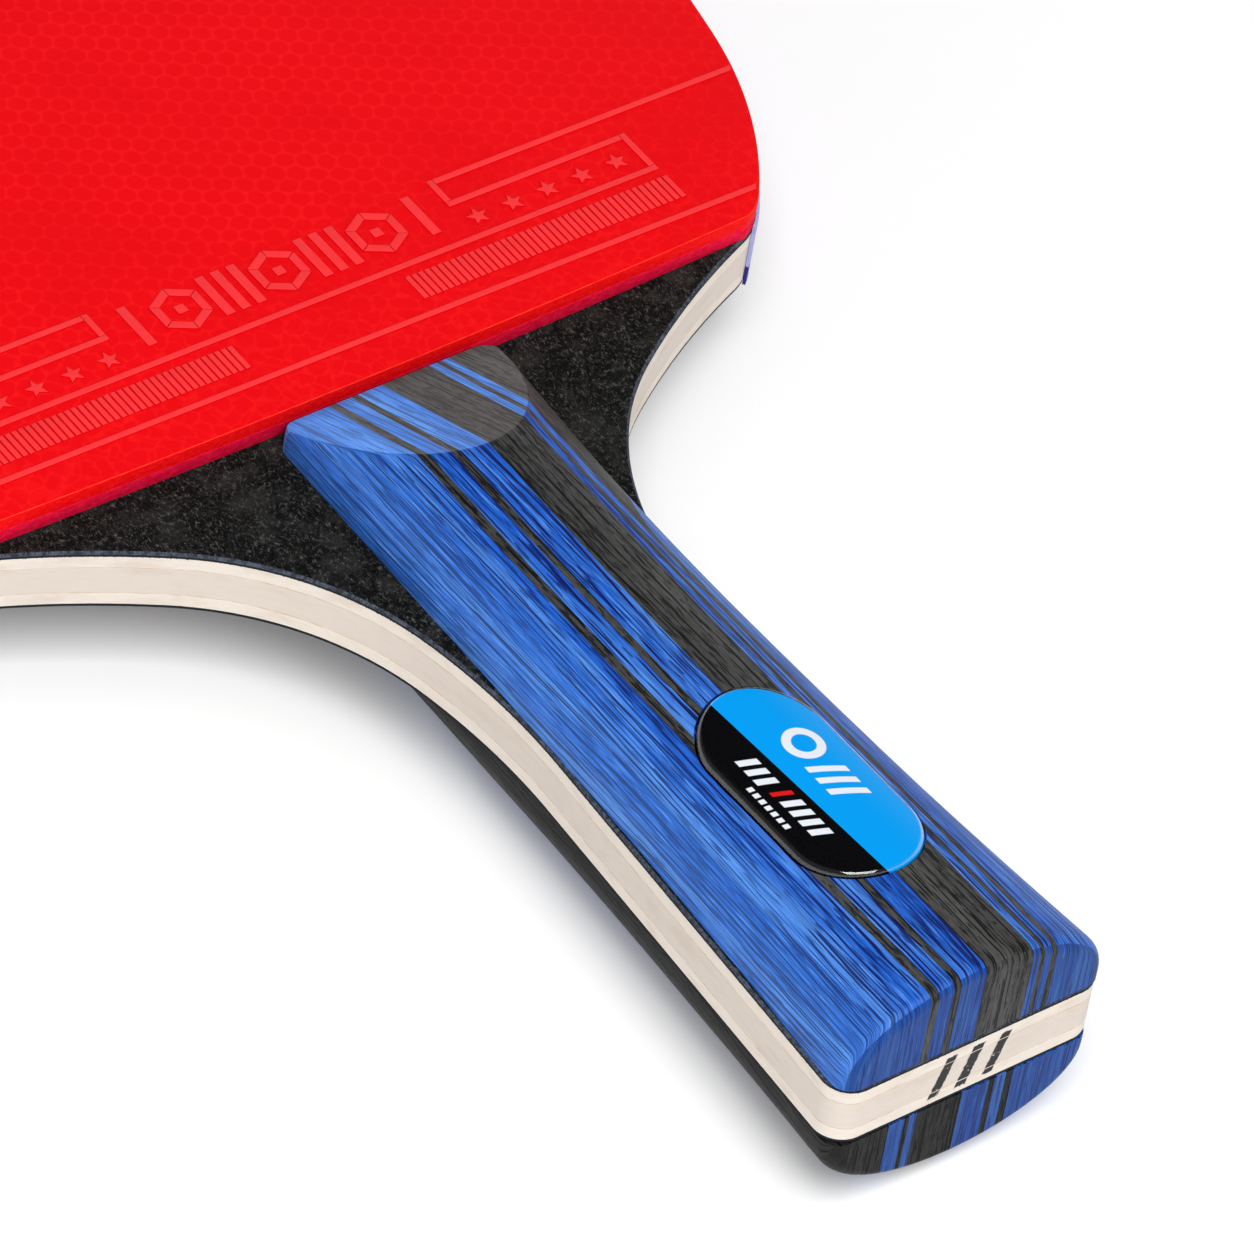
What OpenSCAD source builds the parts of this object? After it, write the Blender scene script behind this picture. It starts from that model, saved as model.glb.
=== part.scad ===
// Table tennis paddle: a five-ply blade, a laminated scale on each side of the handle,
// a sponge and a pimpled sheet on each face, an edge tape and a label under a clear lens.
// Frame: red face up (+Z), tip of the head towards +Y, X = 0 is the middle of the handle.
// The origin is under the middle of the bounding box, on the lowest line of the back scale.
// Inside the modules y = 0 is the rubber edge at the handle and z = 0 the middle of the blade.

/* [Handle] */
// Length from the butt to the rubber edge, mm
handle_length = 100; // [85:1:115]
// Blade width at the butt, mm
butt_width = 32.7; // [28:0.1:40]
// Blade width where the flare ends, mm
waist_width = 26.1; // [22:0.1:32]
// Distance from the butt to the end of the flare, mm
waist_distance = 49.6; // [30:0.1:70]
// Plan radius of the corners of the butt, mm
butt_corner = 3; // [1:0.1:8]
// Narrowest width of a scale, mm
scale_waist = 25; // [18:0.1:26]
// Plan radius of the flared sides of a scale, mm
scale_flare_radius = 690; // [500:10:3000]
// Distance of the narrowest place of a scale from the rubber edge, mm
scale_waist_distance = 30; // [0:0.5:60]
// Plan radius of the corners of a scale at the butt, mm
scale_corner = 2.2; // [1:0.1:8]
// Height of the top of a scale above the middle of the blade, mm
crown_height = 13.5; // [9:0.1:16]
// Height where the upright side of a scale starts to round, above the middle of the blade, mm
round_start = 5; // [4:0.1:9]
// Radius of the edge round at the butt, mm
butt_edge_round = 1.1; // [0.5:0.1:4]
// Slope of the flat cut at the head end of a scale, degrees
bevel_slope = 22.7; // [10:0.1:60]
// Height of the foot of that cut above the middle of the blade, mm
bevel_foot = 6; // [4:0.1:9]
// Gap between the end of a scale and the rubber, mm
scale_end_gap = 0.8; // [0:0.05:2]

/* [Front scale strips] */
// Right edges of the strips from the left, measured from the middle of the handle, mm
front_strip_edges = [-6.8, -5.9, -4.1, -3.3, -0.3, 5.5, 6.4, 7, 7.9, 8.6];
// Distance from the rubber edge where the last dark strip starts to narrow, mm
feather_start = 20; // [10:1:40]
// Distance from the rubber edge where it has its full slenderness, mm
feather_end = 34; // [20:1:60]

/* [Back scale strips] */
// Right edges of the strips from the left, measured from the middle of the handle, mm
back_strip_edges = [-9, -7.1, -6.5, -5.6, -0.1, 3.2, 3.9, 5.3, 6.2];

/* [Head] */
// Radius of the hollow between handle and head, first part, mm
hollow_first_radius = 75; // [40:1:120]
// Radius of the hollow, tight part, mm
hollow_tight_radius = 34.1; // [20:0.1:60]
// Radius of the hollow, last part, mm
hollow_last_radius = 103; // [60:1:200]
// Radius of the shoulder corner, mm
shoulder_radius = 6.6; // [3:0.1:20]
// Radius of the lower side of the head, mm
lower_side_radius = 51.6; // [40:0.1:80]
// Radius of the side of the head, mm
side_radius = 235; // [100:1:400]

/* [Plies] */
// Thickness of the core ply, mm
core_thickness = 3.4; // [1:0.1:6]
// Thickness of each pale inner ply, mm
inner_thickness = 1.5; // [0.3:0.1:3]
// Thickness of each dyed face ply, mm
face_thickness = 0.55; // [0.2:0.05:1.5]

/* [Rubber] */
// Thickness of each sponge, mm
sponge_thickness = 1.6; // [0.5:0.1:2.5]
// Thickness of each pimpled sheet, mm
sheet_thickness = 1.6; // [0.8:0.1:2.5]
// Radius of the slightly bowed rubber edge at the handle, mm
rubber_edge_radius = 1400; // [400:10:4000]
// Height of the raised lines on the front sheet, mm
relief_height = 0.2; // [0.1:0.05:0.4]
// Width of the raised lines, mm
relief_line = 0.75; // [0.4:0.05:1.5]
// Shift of the raised pattern to the right, mm
relief_shift = 1.2; // [-5:0.1:5]
// Turn of the raised pattern, degrees
relief_turn = -0.5; // [-3:0.1:3]
// Outer radius of the raised stars, mm
star_radius = 1.35; // [0.8:0.05:3]

/* [Edge tape] */
// Thickness of the edge tape, mm
tape_thickness = 0.35; // [0.1:0.05:1]
// Glue layer between the tape and the blade, mm
tape_glue = 0.05; // [0:0.05:0.3]
// Overlap of the tape onto each sponge, mm
tape_overlap = 0.4; // [0:0.1:1.5]

/* [Label] */
// Length of the lens, mm
lens_length = 27.2; // [20:0.1:35]
// Width of the lens, mm
lens_width = 14.2; // [10:0.1:18]
// Distance of the middle of the lens from the rubber edge, mm
lens_distance = 71.4; // [50:0.1:85]
// Shift of the lens to the left, mm
lens_shift = 0.4; // [-3:0.1:3]
// Gap all round the lens in its pocket, mm
lens_gap = 0.2; // [0:0.05:0.5]
// Height of the pocket floor above the middle of the blade, mm
pocket_floor = 11.9; // [10:0.1:13]
// Thickness of the printed sheet, mm
print_thickness = 0.2; // [0.1:0.05:0.5]
// Height of the top of the lens above the middle of the blade, mm
lens_top = 13.9; // [12:0.1:15]
// Radius of the domed top of the lens, mm
lens_dome_radius = 45; // [20:1:100]
// Place of the line between the two colours, left of the middle of the lens, mm
print_split = 1.5; // [-4:0.1:4]
// Turn of that line, degrees
print_turn = 2.8; // [-6:0.1:6]

/* [Hidden] */

arc_steps = 240;
wide_arc_steps = 720;
small_arc_steps = 64;
far = 60;
crown_steps = 21;

blue = [0.13, 0.34, 0.75];
dark = [0.2, 0.2, 0.2];
pale = [0.93, 0.88, 0.82];
black = [0.05, 0.05, 0.06];
red = [0.85, 0.05, 0.07];
crimson = [0.75, 0.03, 0.15];

core_top = core_thickness / 2;
inner_top = core_top + inner_thickness;
blade_top = inner_top + face_thickness;
sponge_top = blade_top + sponge_thickness;
sheet_top = sponge_top + sheet_thickness;

// The right half of the outline is a chain of arcs, each a row of:
// radius, heading at its end counted from +X, turn (1 bulges, -1 is hollow),
// laps by which its disc is enlarged, and how far it reaches on at its start and its end.
// A tighter arc has one lap more than its neighbours, so that the two always cross.
lap = 0.002;
flare_heading = atan2(waist_distance, (waist_width - butt_width) / 2);
hollow_mid_heading = 78.9;
hollow_late_heading = 32.8;
shoulder_heading = 20.7;
lower_side_heading = 50;
side_heading = 77.8;
corner_bend = [butt_corner, flare_heading, 1, 1, 1, 1];
bends = [
  [hollow_first_radius, hollow_mid_heading, -1, 1, 1, 0],
  [hollow_tight_radius, hollow_late_heading, -1, 2, 1, 1],
  [hollow_last_radius, shoulder_heading, -1, 1, 0, 0],
  [shoulder_radius, lower_side_heading, 1, 3, 1, 1],
  [lower_side_radius, side_heading, 1, 2, 0, 1],
  [side_radius, 90, 1, 1, 0, 0]
];

function centre_of(p, a, r, s) = p + s * r * [-sin(a), cos(a)];
function end_of(p, a, b, r, s) = centre_of(p, a, r, s) + s * r * [sin(b), -cos(b)];
// Joints of the chain from one on: [point, heading].
function chain(p, a, i) =
  i == len(bends) ? [[p, a]]
  : concat([[p, a]], chain(end_of(p, a, bends[i][1], bends[i][0], bends[i][2]), bends[i][1], i + 1));

corner_from = [
  [butt_width / 2 - butt_corner * (1 - cos(flare_heading)) / sin(flare_heading), -handle_length],
  0
];
corner_to = [
  end_of(corner_from[0], 0, flare_heading, butt_corner, 1),
  flare_heading
];
joints = chain([waist_width / 2, waist_distance - handle_length], flare_heading, 0);
widest = joints[len(joints) - 1][0];
tip_radius = widest[0];
tip_y = widest[1] + tip_radius;

lift_z = crown_height;
shift_y = (handle_length - tip_y - tape_glue - tape_thickness) / 2;

// A joint of the chain moved outwards by grow.
function grown(j, grow) = j[0] + grow * [sin(j[1]), -cos(j[1])];
function mirrored(points) = [for (i = [len(points) - 1 : -1 : 0]) [-points[i][0], points[i][1]]];

// The part of an arc's disc beyond its chord, reaching a little over the chord.
chord_overlap = 1;
module arc_piece(from, to, bend, grow) {
  p = grown(from, grow);
  q = grown(to, grow);
  r = bend[0] + bend[2] * grow + bend[3] * lap;
  intersection() {
    translate(centre_of(from[0], from[1], bend[0], bend[2]))
      circle(r = r, $fn = bend[0] > far ? wide_arc_steps : arc_steps);
    translate(p)
      rotate(atan2(q[1] - p[1], q[0] - p[0]))
        translate([-bend[4], bend[2] > 0 ? -r : -chord_overlap])
          square([norm(q - p) + bend[4] + bend[5], r + chord_overlap]);
  }
}

module both_sides() {
  children();
  mirror([1, 0]) children();
}

module arc_pieces(turn, grow) {
  for (i = [0 : len(bends) - 1])
    if (bends[i][2] == turn)
      arc_piece(joints[i], joints[i + 1], bends[i], grow);
}

module blade_outline(grow = 0) {
  side = [for (j = concat([corner_from, corner_to], joints)) grown(j, grow)];
  difference() {
    polygon(concat(side, mirrored(side)));
    both_sides() arc_pieces(-1, grow);
  }
  both_sides() arc_piece(corner_from, corner_to, corner_bend, grow);
  both_sides() arc_pieces(1, grow);
  translate([0, widest[1]]) circle(r = tip_radius + grow + 2 * lap, $fn = wide_arc_steps);
}

module rubber_outline() {
  intersection() {
    blade_outline();
    translate([0, rubber_edge_radius])
      circle(r = rubber_edge_radius, $fn = wide_arc_steps * 4);
  }
}

// Puts a piece made about the blade's middle into the part's own frame.
module placed() {
  translate([0, shift_y, lift_z]) children();
}

module layer(bottom, thickness) {
  placed() translate([0, 0, bottom]) linear_extrude(height = thickness) children();
}

module core_ply() {
  color(pale) layer(-core_top, core_thickness) blade_outline();
}

module inner_ply(bottom) {
  color(pale) layer(bottom, inner_thickness) blade_outline();
}

module face_ply(bottom) {
  color(black) layer(bottom, face_thickness) blade_outline();
}

// Half width of a scale at a distance from the butt, before the corner is rounded.
function plain_half(s) =
  scale_waist / 2 + scale_flare_radius
  - sqrt(pow(scale_flare_radius, 2) - pow(handle_length - s - scale_waist_distance, 2));
// What a round of radius r takes off at a distance s from the end.
function round_off(s, r) = s >= r ? 0 : r - sqrt(r * r - pow(r - s, 2));
function half_width(s) = plain_half(s) - round_off(s, scale_corner);
function crown_rise(s) = crown_height - round_start - round_off(s, butt_edge_round);

near_steps = 6;
near_stations = [for (i = [0 : near_steps]) scale_corner * (1 - cos(90 * i / near_steps))];
far_station_count = 9;
scale_end = handle_length - scale_end_gap;
last_near = near_stations[len(near_stations) - 1];
stations = concat(
  near_stations,
  [for (i = [1 : far_station_count]) last_near + (scale_end - last_near) * i / far_station_count]
);
// One cross-section: foot, crown from right to left, foot. An odd number of steps
// leaves a flat on top, and the rise is stretched so that this flat has the full height.
top_flat = sin(90 * (crown_steps - 1) / crown_steps);
function section(s) = concat(
  [[half_width(s), s - handle_length, blade_top]],
  [for (j = [0 : crown_steps])
    [half_width(s) * cos(180 * j / crown_steps), s - handle_length,
     round_start + crown_rise(s) * sin(180 * j / crown_steps) / top_flat]],
  [[-half_width(s), s - handle_length, blade_top]]
);
ring = crown_steps + 3;
last_ring = (len(stations) - 1) * ring;

// The whole scale before it is cut into strips: flared sides, crowned top, rounded butt.
module scale_body() {
  polyhedron(
    points = [for (s = stations) for (p = section(s)) p],
    faces = concat(
      [[for (j = [0 : ring - 1]) ring - 1 - j]],
      [[for (j = [0 : ring - 1]) last_ring + j]],
      [for (i = [0 : len(stations) - 2]) for (j = [0 : ring - 1])
        [i * ring + j, (i + 1) * ring + (j + 1) % ring, (i + 1) * ring + j]],
      [for (i = [0 : len(stations) - 2]) for (j = [0 : ring - 1])
        [i * ring + j, i * ring + (j + 1) % ring, (i + 1) * ring + (j + 1) % ring]]
    )
  );
}

// Everything above the flat cut at the head end.
module bevel_cutter() {
  translate([0, -scale_end_gap, bevel_foot])
    rotate([-bevel_slope, 0, 0])
      translate([-far / 2, -far, 0]) cube([far, far * 1.5, far]);
}

module upright_slab(left, right) {
  translate([left, -handle_length - 1, 0]) cube([right - left, handle_length + 2, far]);
}

// The outer blue strip of the front scale: it feathers out before the shoulder.
module feathered_slab() {
  linear_extrude(height = far)
    polygon([
      [front_strip_edges[9], -handle_length - 1],
      [far, -handle_length - 1],
      [far, -feather_start],
      [scale_waist / 2 + 1, -feather_start],
      [front_strip_edges[9], -feather_end]
    ]);
}

module pill(length, width, height) {
  reach = (length - width) / 2;
  linear_extrude(height = height) {
    translate([-width / 2, -reach]) square([width, 2 * reach]);
    translate([0, reach]) circle(d = width, $fn = small_arc_steps);
    translate([0, -reach]) circle(d = width, $fn = small_arc_steps);
  }
}

module lens_place(z) {
  translate([-lens_shift, -lens_distance, z]) children();
}

module pocket() {
  lens_place(pocket_floor) pill(lens_length + 2 * lens_gap, lens_width + 2 * lens_gap, far);
}

module front_strip(i) {
  left = i == 0 ? -far : front_strip_edges[i - 1];
  right = i == len(front_strip_edges) ? far : front_strip_edges[i];
  placed() difference() {
    intersection() {
      scale_body();
      upright_slab(left, right);
    }
    bevel_cutter();
    pocket();
  }
}

// The last dark strip widens to the side of the scale near the shoulder.
module front_last_dark_strip() {
  placed() difference() {
    intersection() {
      scale_body();
      upright_slab(front_strip_edges[8], far);
    }
    bevel_cutter();
    feathered_slab();
  }
}

module front_outer_strip() {
  placed() difference() {
    intersection() {
      scale_body();
      feathered_slab();
    }
    bevel_cutter();
  }
}

module back_strip(i) {
  left = i == 0 ? -far : back_strip_edges[i - 1];
  right = i == len(back_strip_edges) ? far : back_strip_edges[i];
  placed() mirror([0, 0, 1]) difference() {
    intersection() {
      scale_body();
      upright_slab(left, right);
    }
    bevel_cutter();
  }
}

module sponge(bottom) {
  color(red) layer(bottom, sponge_thickness) rubber_outline();
}

module raised_bar(x, y, width, height) {
  translate([x, y]) square([width, height]);
}

module star(x, y) {
  inner_radius = star_radius * 0.42;
  translate([x, y])
    polygon([for (k = [0 : 9])
      (k % 2 == 0 ? star_radius : inner_radius) * [sin(36 * k), cos(36 * k)]]);
}

// Raised pattern near the handle, right half: lines, an open frame and five stars.
line_one = 4.2;
line_two = 11.2;
line_three = 20;
frame_low = 17.3;
frame_inner_x = 20.8;
frame_outer_x = 43.3;
star_y = 14.1;
star_pitch = 4.35;
star_first_x = 22.6;
module half_relief() {
  raised_bar(0, line_one, far * 2, relief_line);
  raised_bar(0, line_two, frame_outer_x, relief_line);
  raised_bar(frame_outer_x - relief_line, line_two, relief_line, frame_low - line_two);
  raised_bar(frame_inner_x, frame_low - relief_line, frame_outer_x - frame_inner_x, relief_line);
  raised_bar(frame_inner_x, frame_low - relief_line, relief_line, line_three - frame_low + 2 * relief_line);
  raised_bar(frame_inner_x, line_three, far, relief_line);
  for (k = [0 : 4]) star(star_first_x + star_pitch * k, star_y);
}

module relief_outline() {
  translate([relief_shift, 0]) rotate(relief_turn) {
    half_relief();
    mirror([1, 0]) half_relief();
  }
}

module front_sheet() {
  color(red) {
    placed() union() {
      translate([0, 0, sponge_top]) linear_extrude(height = sheet_thickness) rubber_outline();
      intersection() {
        translate([0, 0, sheet_top - relief_height])
          linear_extrude(height = 2 * relief_height) relief_outline();
        translate([0, 0, sponge_top])
          linear_extrude(height = sheet_thickness + 2 * relief_height) rubber_outline();
      }
    }
  }
}

module back_sheet() {
  color(black) layer(-sheet_top, sheet_thickness) rubber_outline();
}

// A thin band on the rim of the head, from one shoulder round the tip to the other.
tape_start_y = 1.2;
module edge_tape() {
  height = 2 * (blade_top + tape_overlap);
  color([0.6, 0.63, 0.85]) layer(-height / 2, height)
    difference() {
      intersection() {
        blade_outline(tape_glue + tape_thickness);
        translate([-far * 2, tape_start_y]) square([far * 4, far * 3]);
      }
      blade_outline(tape_glue);
    }
}

module print_side(side) {
  placed() lens_place(pocket_floor) intersection() {
    pill(lens_length, lens_width, print_thickness);
    translate([-print_split, 0, 0]) rotate([0, 0, print_turn])
      translate([side > 0 ? 0 : -far, -far, -1]) cube([far, 2 * far, 3]);
  }
}

module label_lens() {
  color([0.85, 0.9, 0.95, 0.4]) placed() intersection() {
    lens_place(pocket_floor + print_thickness) pill(lens_length, lens_width, far);
    translate([-lens_shift, 0, lens_top - lens_dome_radius])
      rotate([90, 0, 0]) cylinder(r = lens_dome_radius, h = handle_length, $fn = wide_arc_steps);
  }
}

core_ply();
inner_ply(core_top);  // front_inner_ply
inner_ply(-inner_top);  // back_inner_ply
face_ply(inner_top);  // front_face_ply
face_ply(-blade_top);  // back_face_ply
color(blue) front_strip(0);  // front_scale_strip_01
color(dark) front_strip(1);  // front_scale_strip_02
color(blue) front_strip(2);  // front_scale_strip_03
color(dark) front_strip(3);  // front_scale_strip_04
color(blue) front_strip(4);  // front_scale_strip_05
color(dark) front_strip(5);  // front_scale_strip_06
color(blue) front_strip(6);  // front_scale_strip_07
color(dark) front_strip(7);  // front_scale_strip_08
color(blue) front_strip(8);  // front_scale_strip_09
color(dark) front_last_dark_strip();  // front_scale_strip_10
color(blue) front_outer_strip();  // front_scale_strip_11
color(dark) back_strip(0);  // back_scale_strip_01
color(blue) back_strip(1);  // back_scale_strip_02
color(dark) back_strip(2);  // back_scale_strip_03
color(blue) back_strip(3);  // back_scale_strip_04
color(dark) back_strip(4);  // back_scale_strip_05
color(blue) back_strip(5);  // back_scale_strip_06
color(dark) back_strip(6);  // back_scale_strip_07
color(blue) back_strip(7);  // back_scale_strip_08
color(dark) back_strip(8);  // back_scale_strip_09
color(blue) back_strip(9);  // back_scale_strip_10
sponge(blade_top);  // front_sponge
sponge(-sponge_top);  // back_sponge
front_sheet();
back_sheet();
edge_tape();
color(black) print_side(-1);  // label_print_dark
color([0, 0.6, 0.95]) print_side(1);  // label_print_light
label_lens();
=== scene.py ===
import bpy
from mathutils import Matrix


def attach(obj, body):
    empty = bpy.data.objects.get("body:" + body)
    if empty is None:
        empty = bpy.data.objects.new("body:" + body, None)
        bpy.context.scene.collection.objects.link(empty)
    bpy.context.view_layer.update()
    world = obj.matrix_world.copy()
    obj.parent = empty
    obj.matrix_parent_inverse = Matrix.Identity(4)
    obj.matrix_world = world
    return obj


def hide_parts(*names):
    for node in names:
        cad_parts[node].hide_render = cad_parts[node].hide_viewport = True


bl_info = {
    "name": "Table tennis paddle",
    "version": (1, 0, 0),
    "blender": (4, 5, 0),
    "location": "View3D > Sidebar > Paddle",
    "description": "Dresses the paddle's solids with fine meshes, woods, rubbers, tape and label",
    "category": "Object",
}

import math
from functools import reduce
from types import SimpleNamespace

import bpy
import numpy as np
from bpy.props import FloatProperty, FloatVectorProperty, PointerProperty
from mathutils import Euler, Vector

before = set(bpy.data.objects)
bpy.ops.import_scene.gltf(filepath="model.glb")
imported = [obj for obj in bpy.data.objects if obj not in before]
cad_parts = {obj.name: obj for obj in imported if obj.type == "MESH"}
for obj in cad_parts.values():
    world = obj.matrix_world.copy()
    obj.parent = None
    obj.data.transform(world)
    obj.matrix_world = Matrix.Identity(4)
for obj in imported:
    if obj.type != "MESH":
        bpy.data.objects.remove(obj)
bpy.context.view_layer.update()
MM = 0.001
BODY = "root"


# ---------------------------------------------------------------- sizes and colours


def length(name, description, default):
    """A length in metres."""
    return FloatProperty(
        name=name, description=description, default=default, unit="LENGTH", precision=5
    )


def angle(name, description, default):
    """An angle, given in degrees and held in radians."""
    return FloatProperty(
        name=name, description=description, default=math.radians(default), unit="ROTATION"
    )


def linear(value):
    """One display channel, 0 to 255, as a linear one."""
    v = value / 255
    return v / 12.92 if v <= 0.04045 else ((v + 0.055) / 1.055) ** 2.4


def colour(name, description, red, green, blue):
    """A colour, given in display values from 0 to 255."""
    return FloatVectorProperty(
        name=name,
        description=description,
        subtype="COLOR",
        size=3,
        min=0,
        max=1,
        default=(linear(red), linear(green), linear(blue)),
    )


def tinted(base, factor, lift=0.0):
    """A colour times a factor, with the same amount added to each channel."""
    return tuple(min(1.0, v * factor + lift) for v in base)


class PaddleSizes(bpy.types.PropertyGroup):
    """The paddle's driving sizes.

    Most repeat those of its solids. The lean, ledge, end corners and pips are made only here,
    and the label sits 0.3 mm nearer the butt and 0.3 mm more to the right than in the solids.
    """

    handle_length: length("Handle length", "From the butt to the rubber edge", 0.1)
    butt_width: length("Butt width", "Blade width at the butt", 0.0327)
    waist_width: length("Waist width", "Blade width where the flare ends", 0.0261)
    waist_distance: length("Waist distance", "From the butt to the end of the flare", 0.0496)
    butt_corner: length("Butt corner", "Plan radius of the corners of the butt", 0.003)
    least_ledge: length("Least ledge", "Least width of the blade's ledge beside a scale", 0.0002)
    scale_waist: length("Scale waist", "Narrowest width of a scale", 0.025)
    scale_flare_radius: length("Scale flare radius", "Plan radius of a scale's sides", 0.69)
    scale_waist_distance: length(
        "Scale waist distance", "Its narrowest place from the rubber edge", 0.03
    )
    scale_corner: length("Scale corner", "Plan radius of a scale's corners at the butt", 0.0022)
    scale_end_corner: length("Scale end corner", "The same at the rubber end", 0.002)
    scale_lean: length("Scale lean", "How far a scale leans to the right at the rubber", 0.0018)
    scale_lean_start: length("Lean start", "Where that lean starts, from the rubber edge", 0.05)
    crown_height: length("Crown height", "Top of a scale above the blade's middle", 0.0135)
    round_start: length("Round start", "Where a scale's side starts to round", 0.005)
    butt_edge_round: length("Butt edge round", "Radius of the edge round at the butt", 0.0011)
    bevel_slope: angle("Bevel slope", "Slope of the flat cut at the head end", 22.7)
    bevel_foot: length("Bevel foot", "Height of its foot above the blade's middle", 0.006)
    scale_end_gap: length("Scale end gap", "Gap between a scale's end and the rubber", 0.0008)
    core_thickness: length("Core ply", "Thickness of the core ply", 0.0034)
    inner_thickness: length("Inner ply", "Thickness of each pale inner ply", 0.0015)
    face_thickness: length("Face ply", "Thickness of each dyed face ply", 0.00055)
    sponge_thickness: length("Sponge", "Thickness of each sponge", 0.0016)
    sheet_thickness: length("Sheet", "Thickness of each pimpled sheet", 0.0016)
    relief_height: length("Relief height", "Height of the raised lines", 0.0002)
    relief_line: length("Relief line", "Width of the raised lines", 0.00075)
    pip_pitch: length("Pip pitch", "From pip to pip inside the sheets", 0.0022)
    tape_thickness: length("Tape thickness", "Thickness of the edge tape", 0.00035)
    tape_glue: length("Tape glue", "Glue layer under the tape", 0.00005)
    tape_overlap: length("Tape overlap", "Overlap of the tape onto each sponge", 0.0004)
    lens_length: length("Lens length", "Length of the lens", 0.0272)
    lens_width: length("Lens width", "Width of the lens", 0.0142)
    lens_distance: length("Lens distance", "Its middle from the rubber edge", 0.0717)
    lens_shift: length("Lens shift", "Its shift to the left", 0.0001)
    lens_gap: length("Lens gap", "Gap round the lens in its pocket", 0.0002)
    pocket_floor: length("Pocket floor", "Pocket floor above the blade's middle", 0.0119)
    lens_top: length("Lens top", "Top of the lens above the blade's middle", 0.0139)


class PaddleColours(bpy.types.PropertyGroup):
    """The paddle's colours."""

    blue: colour("Blue veneer", "Dyed blue veneer", 26, 90, 192)
    blue_deep: colour("Blue streak", "Dark streaks in the blue veneer", 3, 24, 96)
    # The pale streak colours are also painted over the flat cut as a sheen and over the sides as
    # light.
    blue_light: colour("Blue light", "Pale streaks in the blue veneer", 100, 160, 234)
    charcoal: colour("Charcoal veneer", "Dyed charcoal veneer", 62, 62, 61)
    charcoal_deep: colour("Charcoal streak", "Dark streaks in the charcoal veneer", 10, 10, 11)
    charcoal_light: colour("Charcoal light", "Pale streaks in the charcoal veneer", 86, 86, 85)
    core: colour("Core wood", "Core ply", 212, 201, 191)
    inner: colour("Inner wood", "Pale inner plies", 224, 214, 203)
    wood_shade: colour("Wood shade", "Darker growth in the pale plies", 200, 184, 170)
    glue: colour("Glue line", "Line between the pale plies", 200, 164, 124)
    ply_black: colour("Black ply", "Dyed face plies", 17, 17, 17)
    ply_fibre: colour("Ply fibre", "Fibres in the dyed face plies", 104, 104, 100)
    ply_edge: colour("Ply edge", "Cut edge of the dyed face plies", 74, 80, 92)
    red: colour("Red sheet", "Red rubber sheet", 234, 8, 18)
    red_net: colour("Red between pips", "Sheet between its pips", 244, 24, 26)
    red_relief: colour("Red relief", "Raised pattern of the sheet", 250, 56, 60)
    # Painted highlight on the sheet's rounded upper edge.
    red_lip_highlight: colour("Red lip", "Bright upper edge of the sheet", 246, 78, 44)
    red_cut: colour("Red cut", "Cut side of the sheet", 226, 8, 14)
    sponge: colour("Sponge", "Sponge under the sheets", 236, 14, 60)
    back_sheet: colour("Back sheet", "Black rubber sheet on the back", 24, 24, 25)
    tape: colour("Edge tape", "Pale band of the edge tape", 168, 172, 222)
    tape_band: colour("Tape band", "Dark band of the edge tape", 34, 34, 120)
    tape_hem: colour("Tape hem", "Bright cut edge of the edge tape", 237, 237, 243)
    label_blue: colour("Label blue", "Light half of the label", 0, 158, 240)
    label_black: colour("Label black", "Dark half of the label", 4, 4, 6)
    light_mark: colour("Light half's marks", "White marks on the light half", 234, 236, 243)
    dark_mark: colour("Dark half's marks", "White marks on the dark half", 231, 234, 239)
    red_mark: colour("Red mark", "The one red mark on the dark half", 218, 25, 25)
    ink: colour("Stamp ink", "Ink of the stamp on the butt", 34, 34, 36)
    floor: colour("Floor", "Floor and backdrop", 247, 247, 247)


def lengths():
    """The sizes as plain numbers in millimetres, with what follows from them."""
    sizes = bpy.context.scene.paddle_sizes
    f = SimpleNamespace()
    for name in PaddleSizes.__annotations__:
        value = getattr(sizes, name)
        setattr(f, name, value if name == "bevel_slope" else value / MM)
    f.core_top = f.core_thickness / 2
    f.inner_top = f.core_top + f.inner_thickness
    f.blade_top = f.inner_top + f.face_thickness
    f.sponge_top = f.blade_top + f.sponge_thickness
    f.sheet_top = f.sponge_top + f.sheet_thickness
    return f


# ---------------------------------------------------------------- plan shapes, in mm
# y = 0 is the rubber edge at the handle, x = 0 the middle, z = 0 the middle of the blade.


def arc(start, heading, end_heading, radius, turn, step=0.7):
    """Points and outward normals of one arc; turn 1 bulges and -1 is hollow."""
    a, b = math.radians(heading), math.radians(end_heading)
    centre = np.array(start) + turn * radius * np.array([-math.sin(a), math.cos(a)])
    count = max(3, int(abs(b - a) * radius / step) + 1)
    h = np.linspace(a, b, count)
    out = np.stack([np.sin(h), -np.cos(h)], axis=1)
    return centre + turn * radius * out, out


# The blade's side after its flare, as arcs: radius, heading at the end in degrees, and 1 where
# the arc bulges or -1 where it is hollow.
BLADE_BENDS = (
    (75, 78.9, -1),
    (34.1, 32.8, -1),
    (103, 20.7, -1),
    (6.6, 50, 1),
    (51.6, 77.8, 1),
    (235, 90, 1),
)


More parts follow.
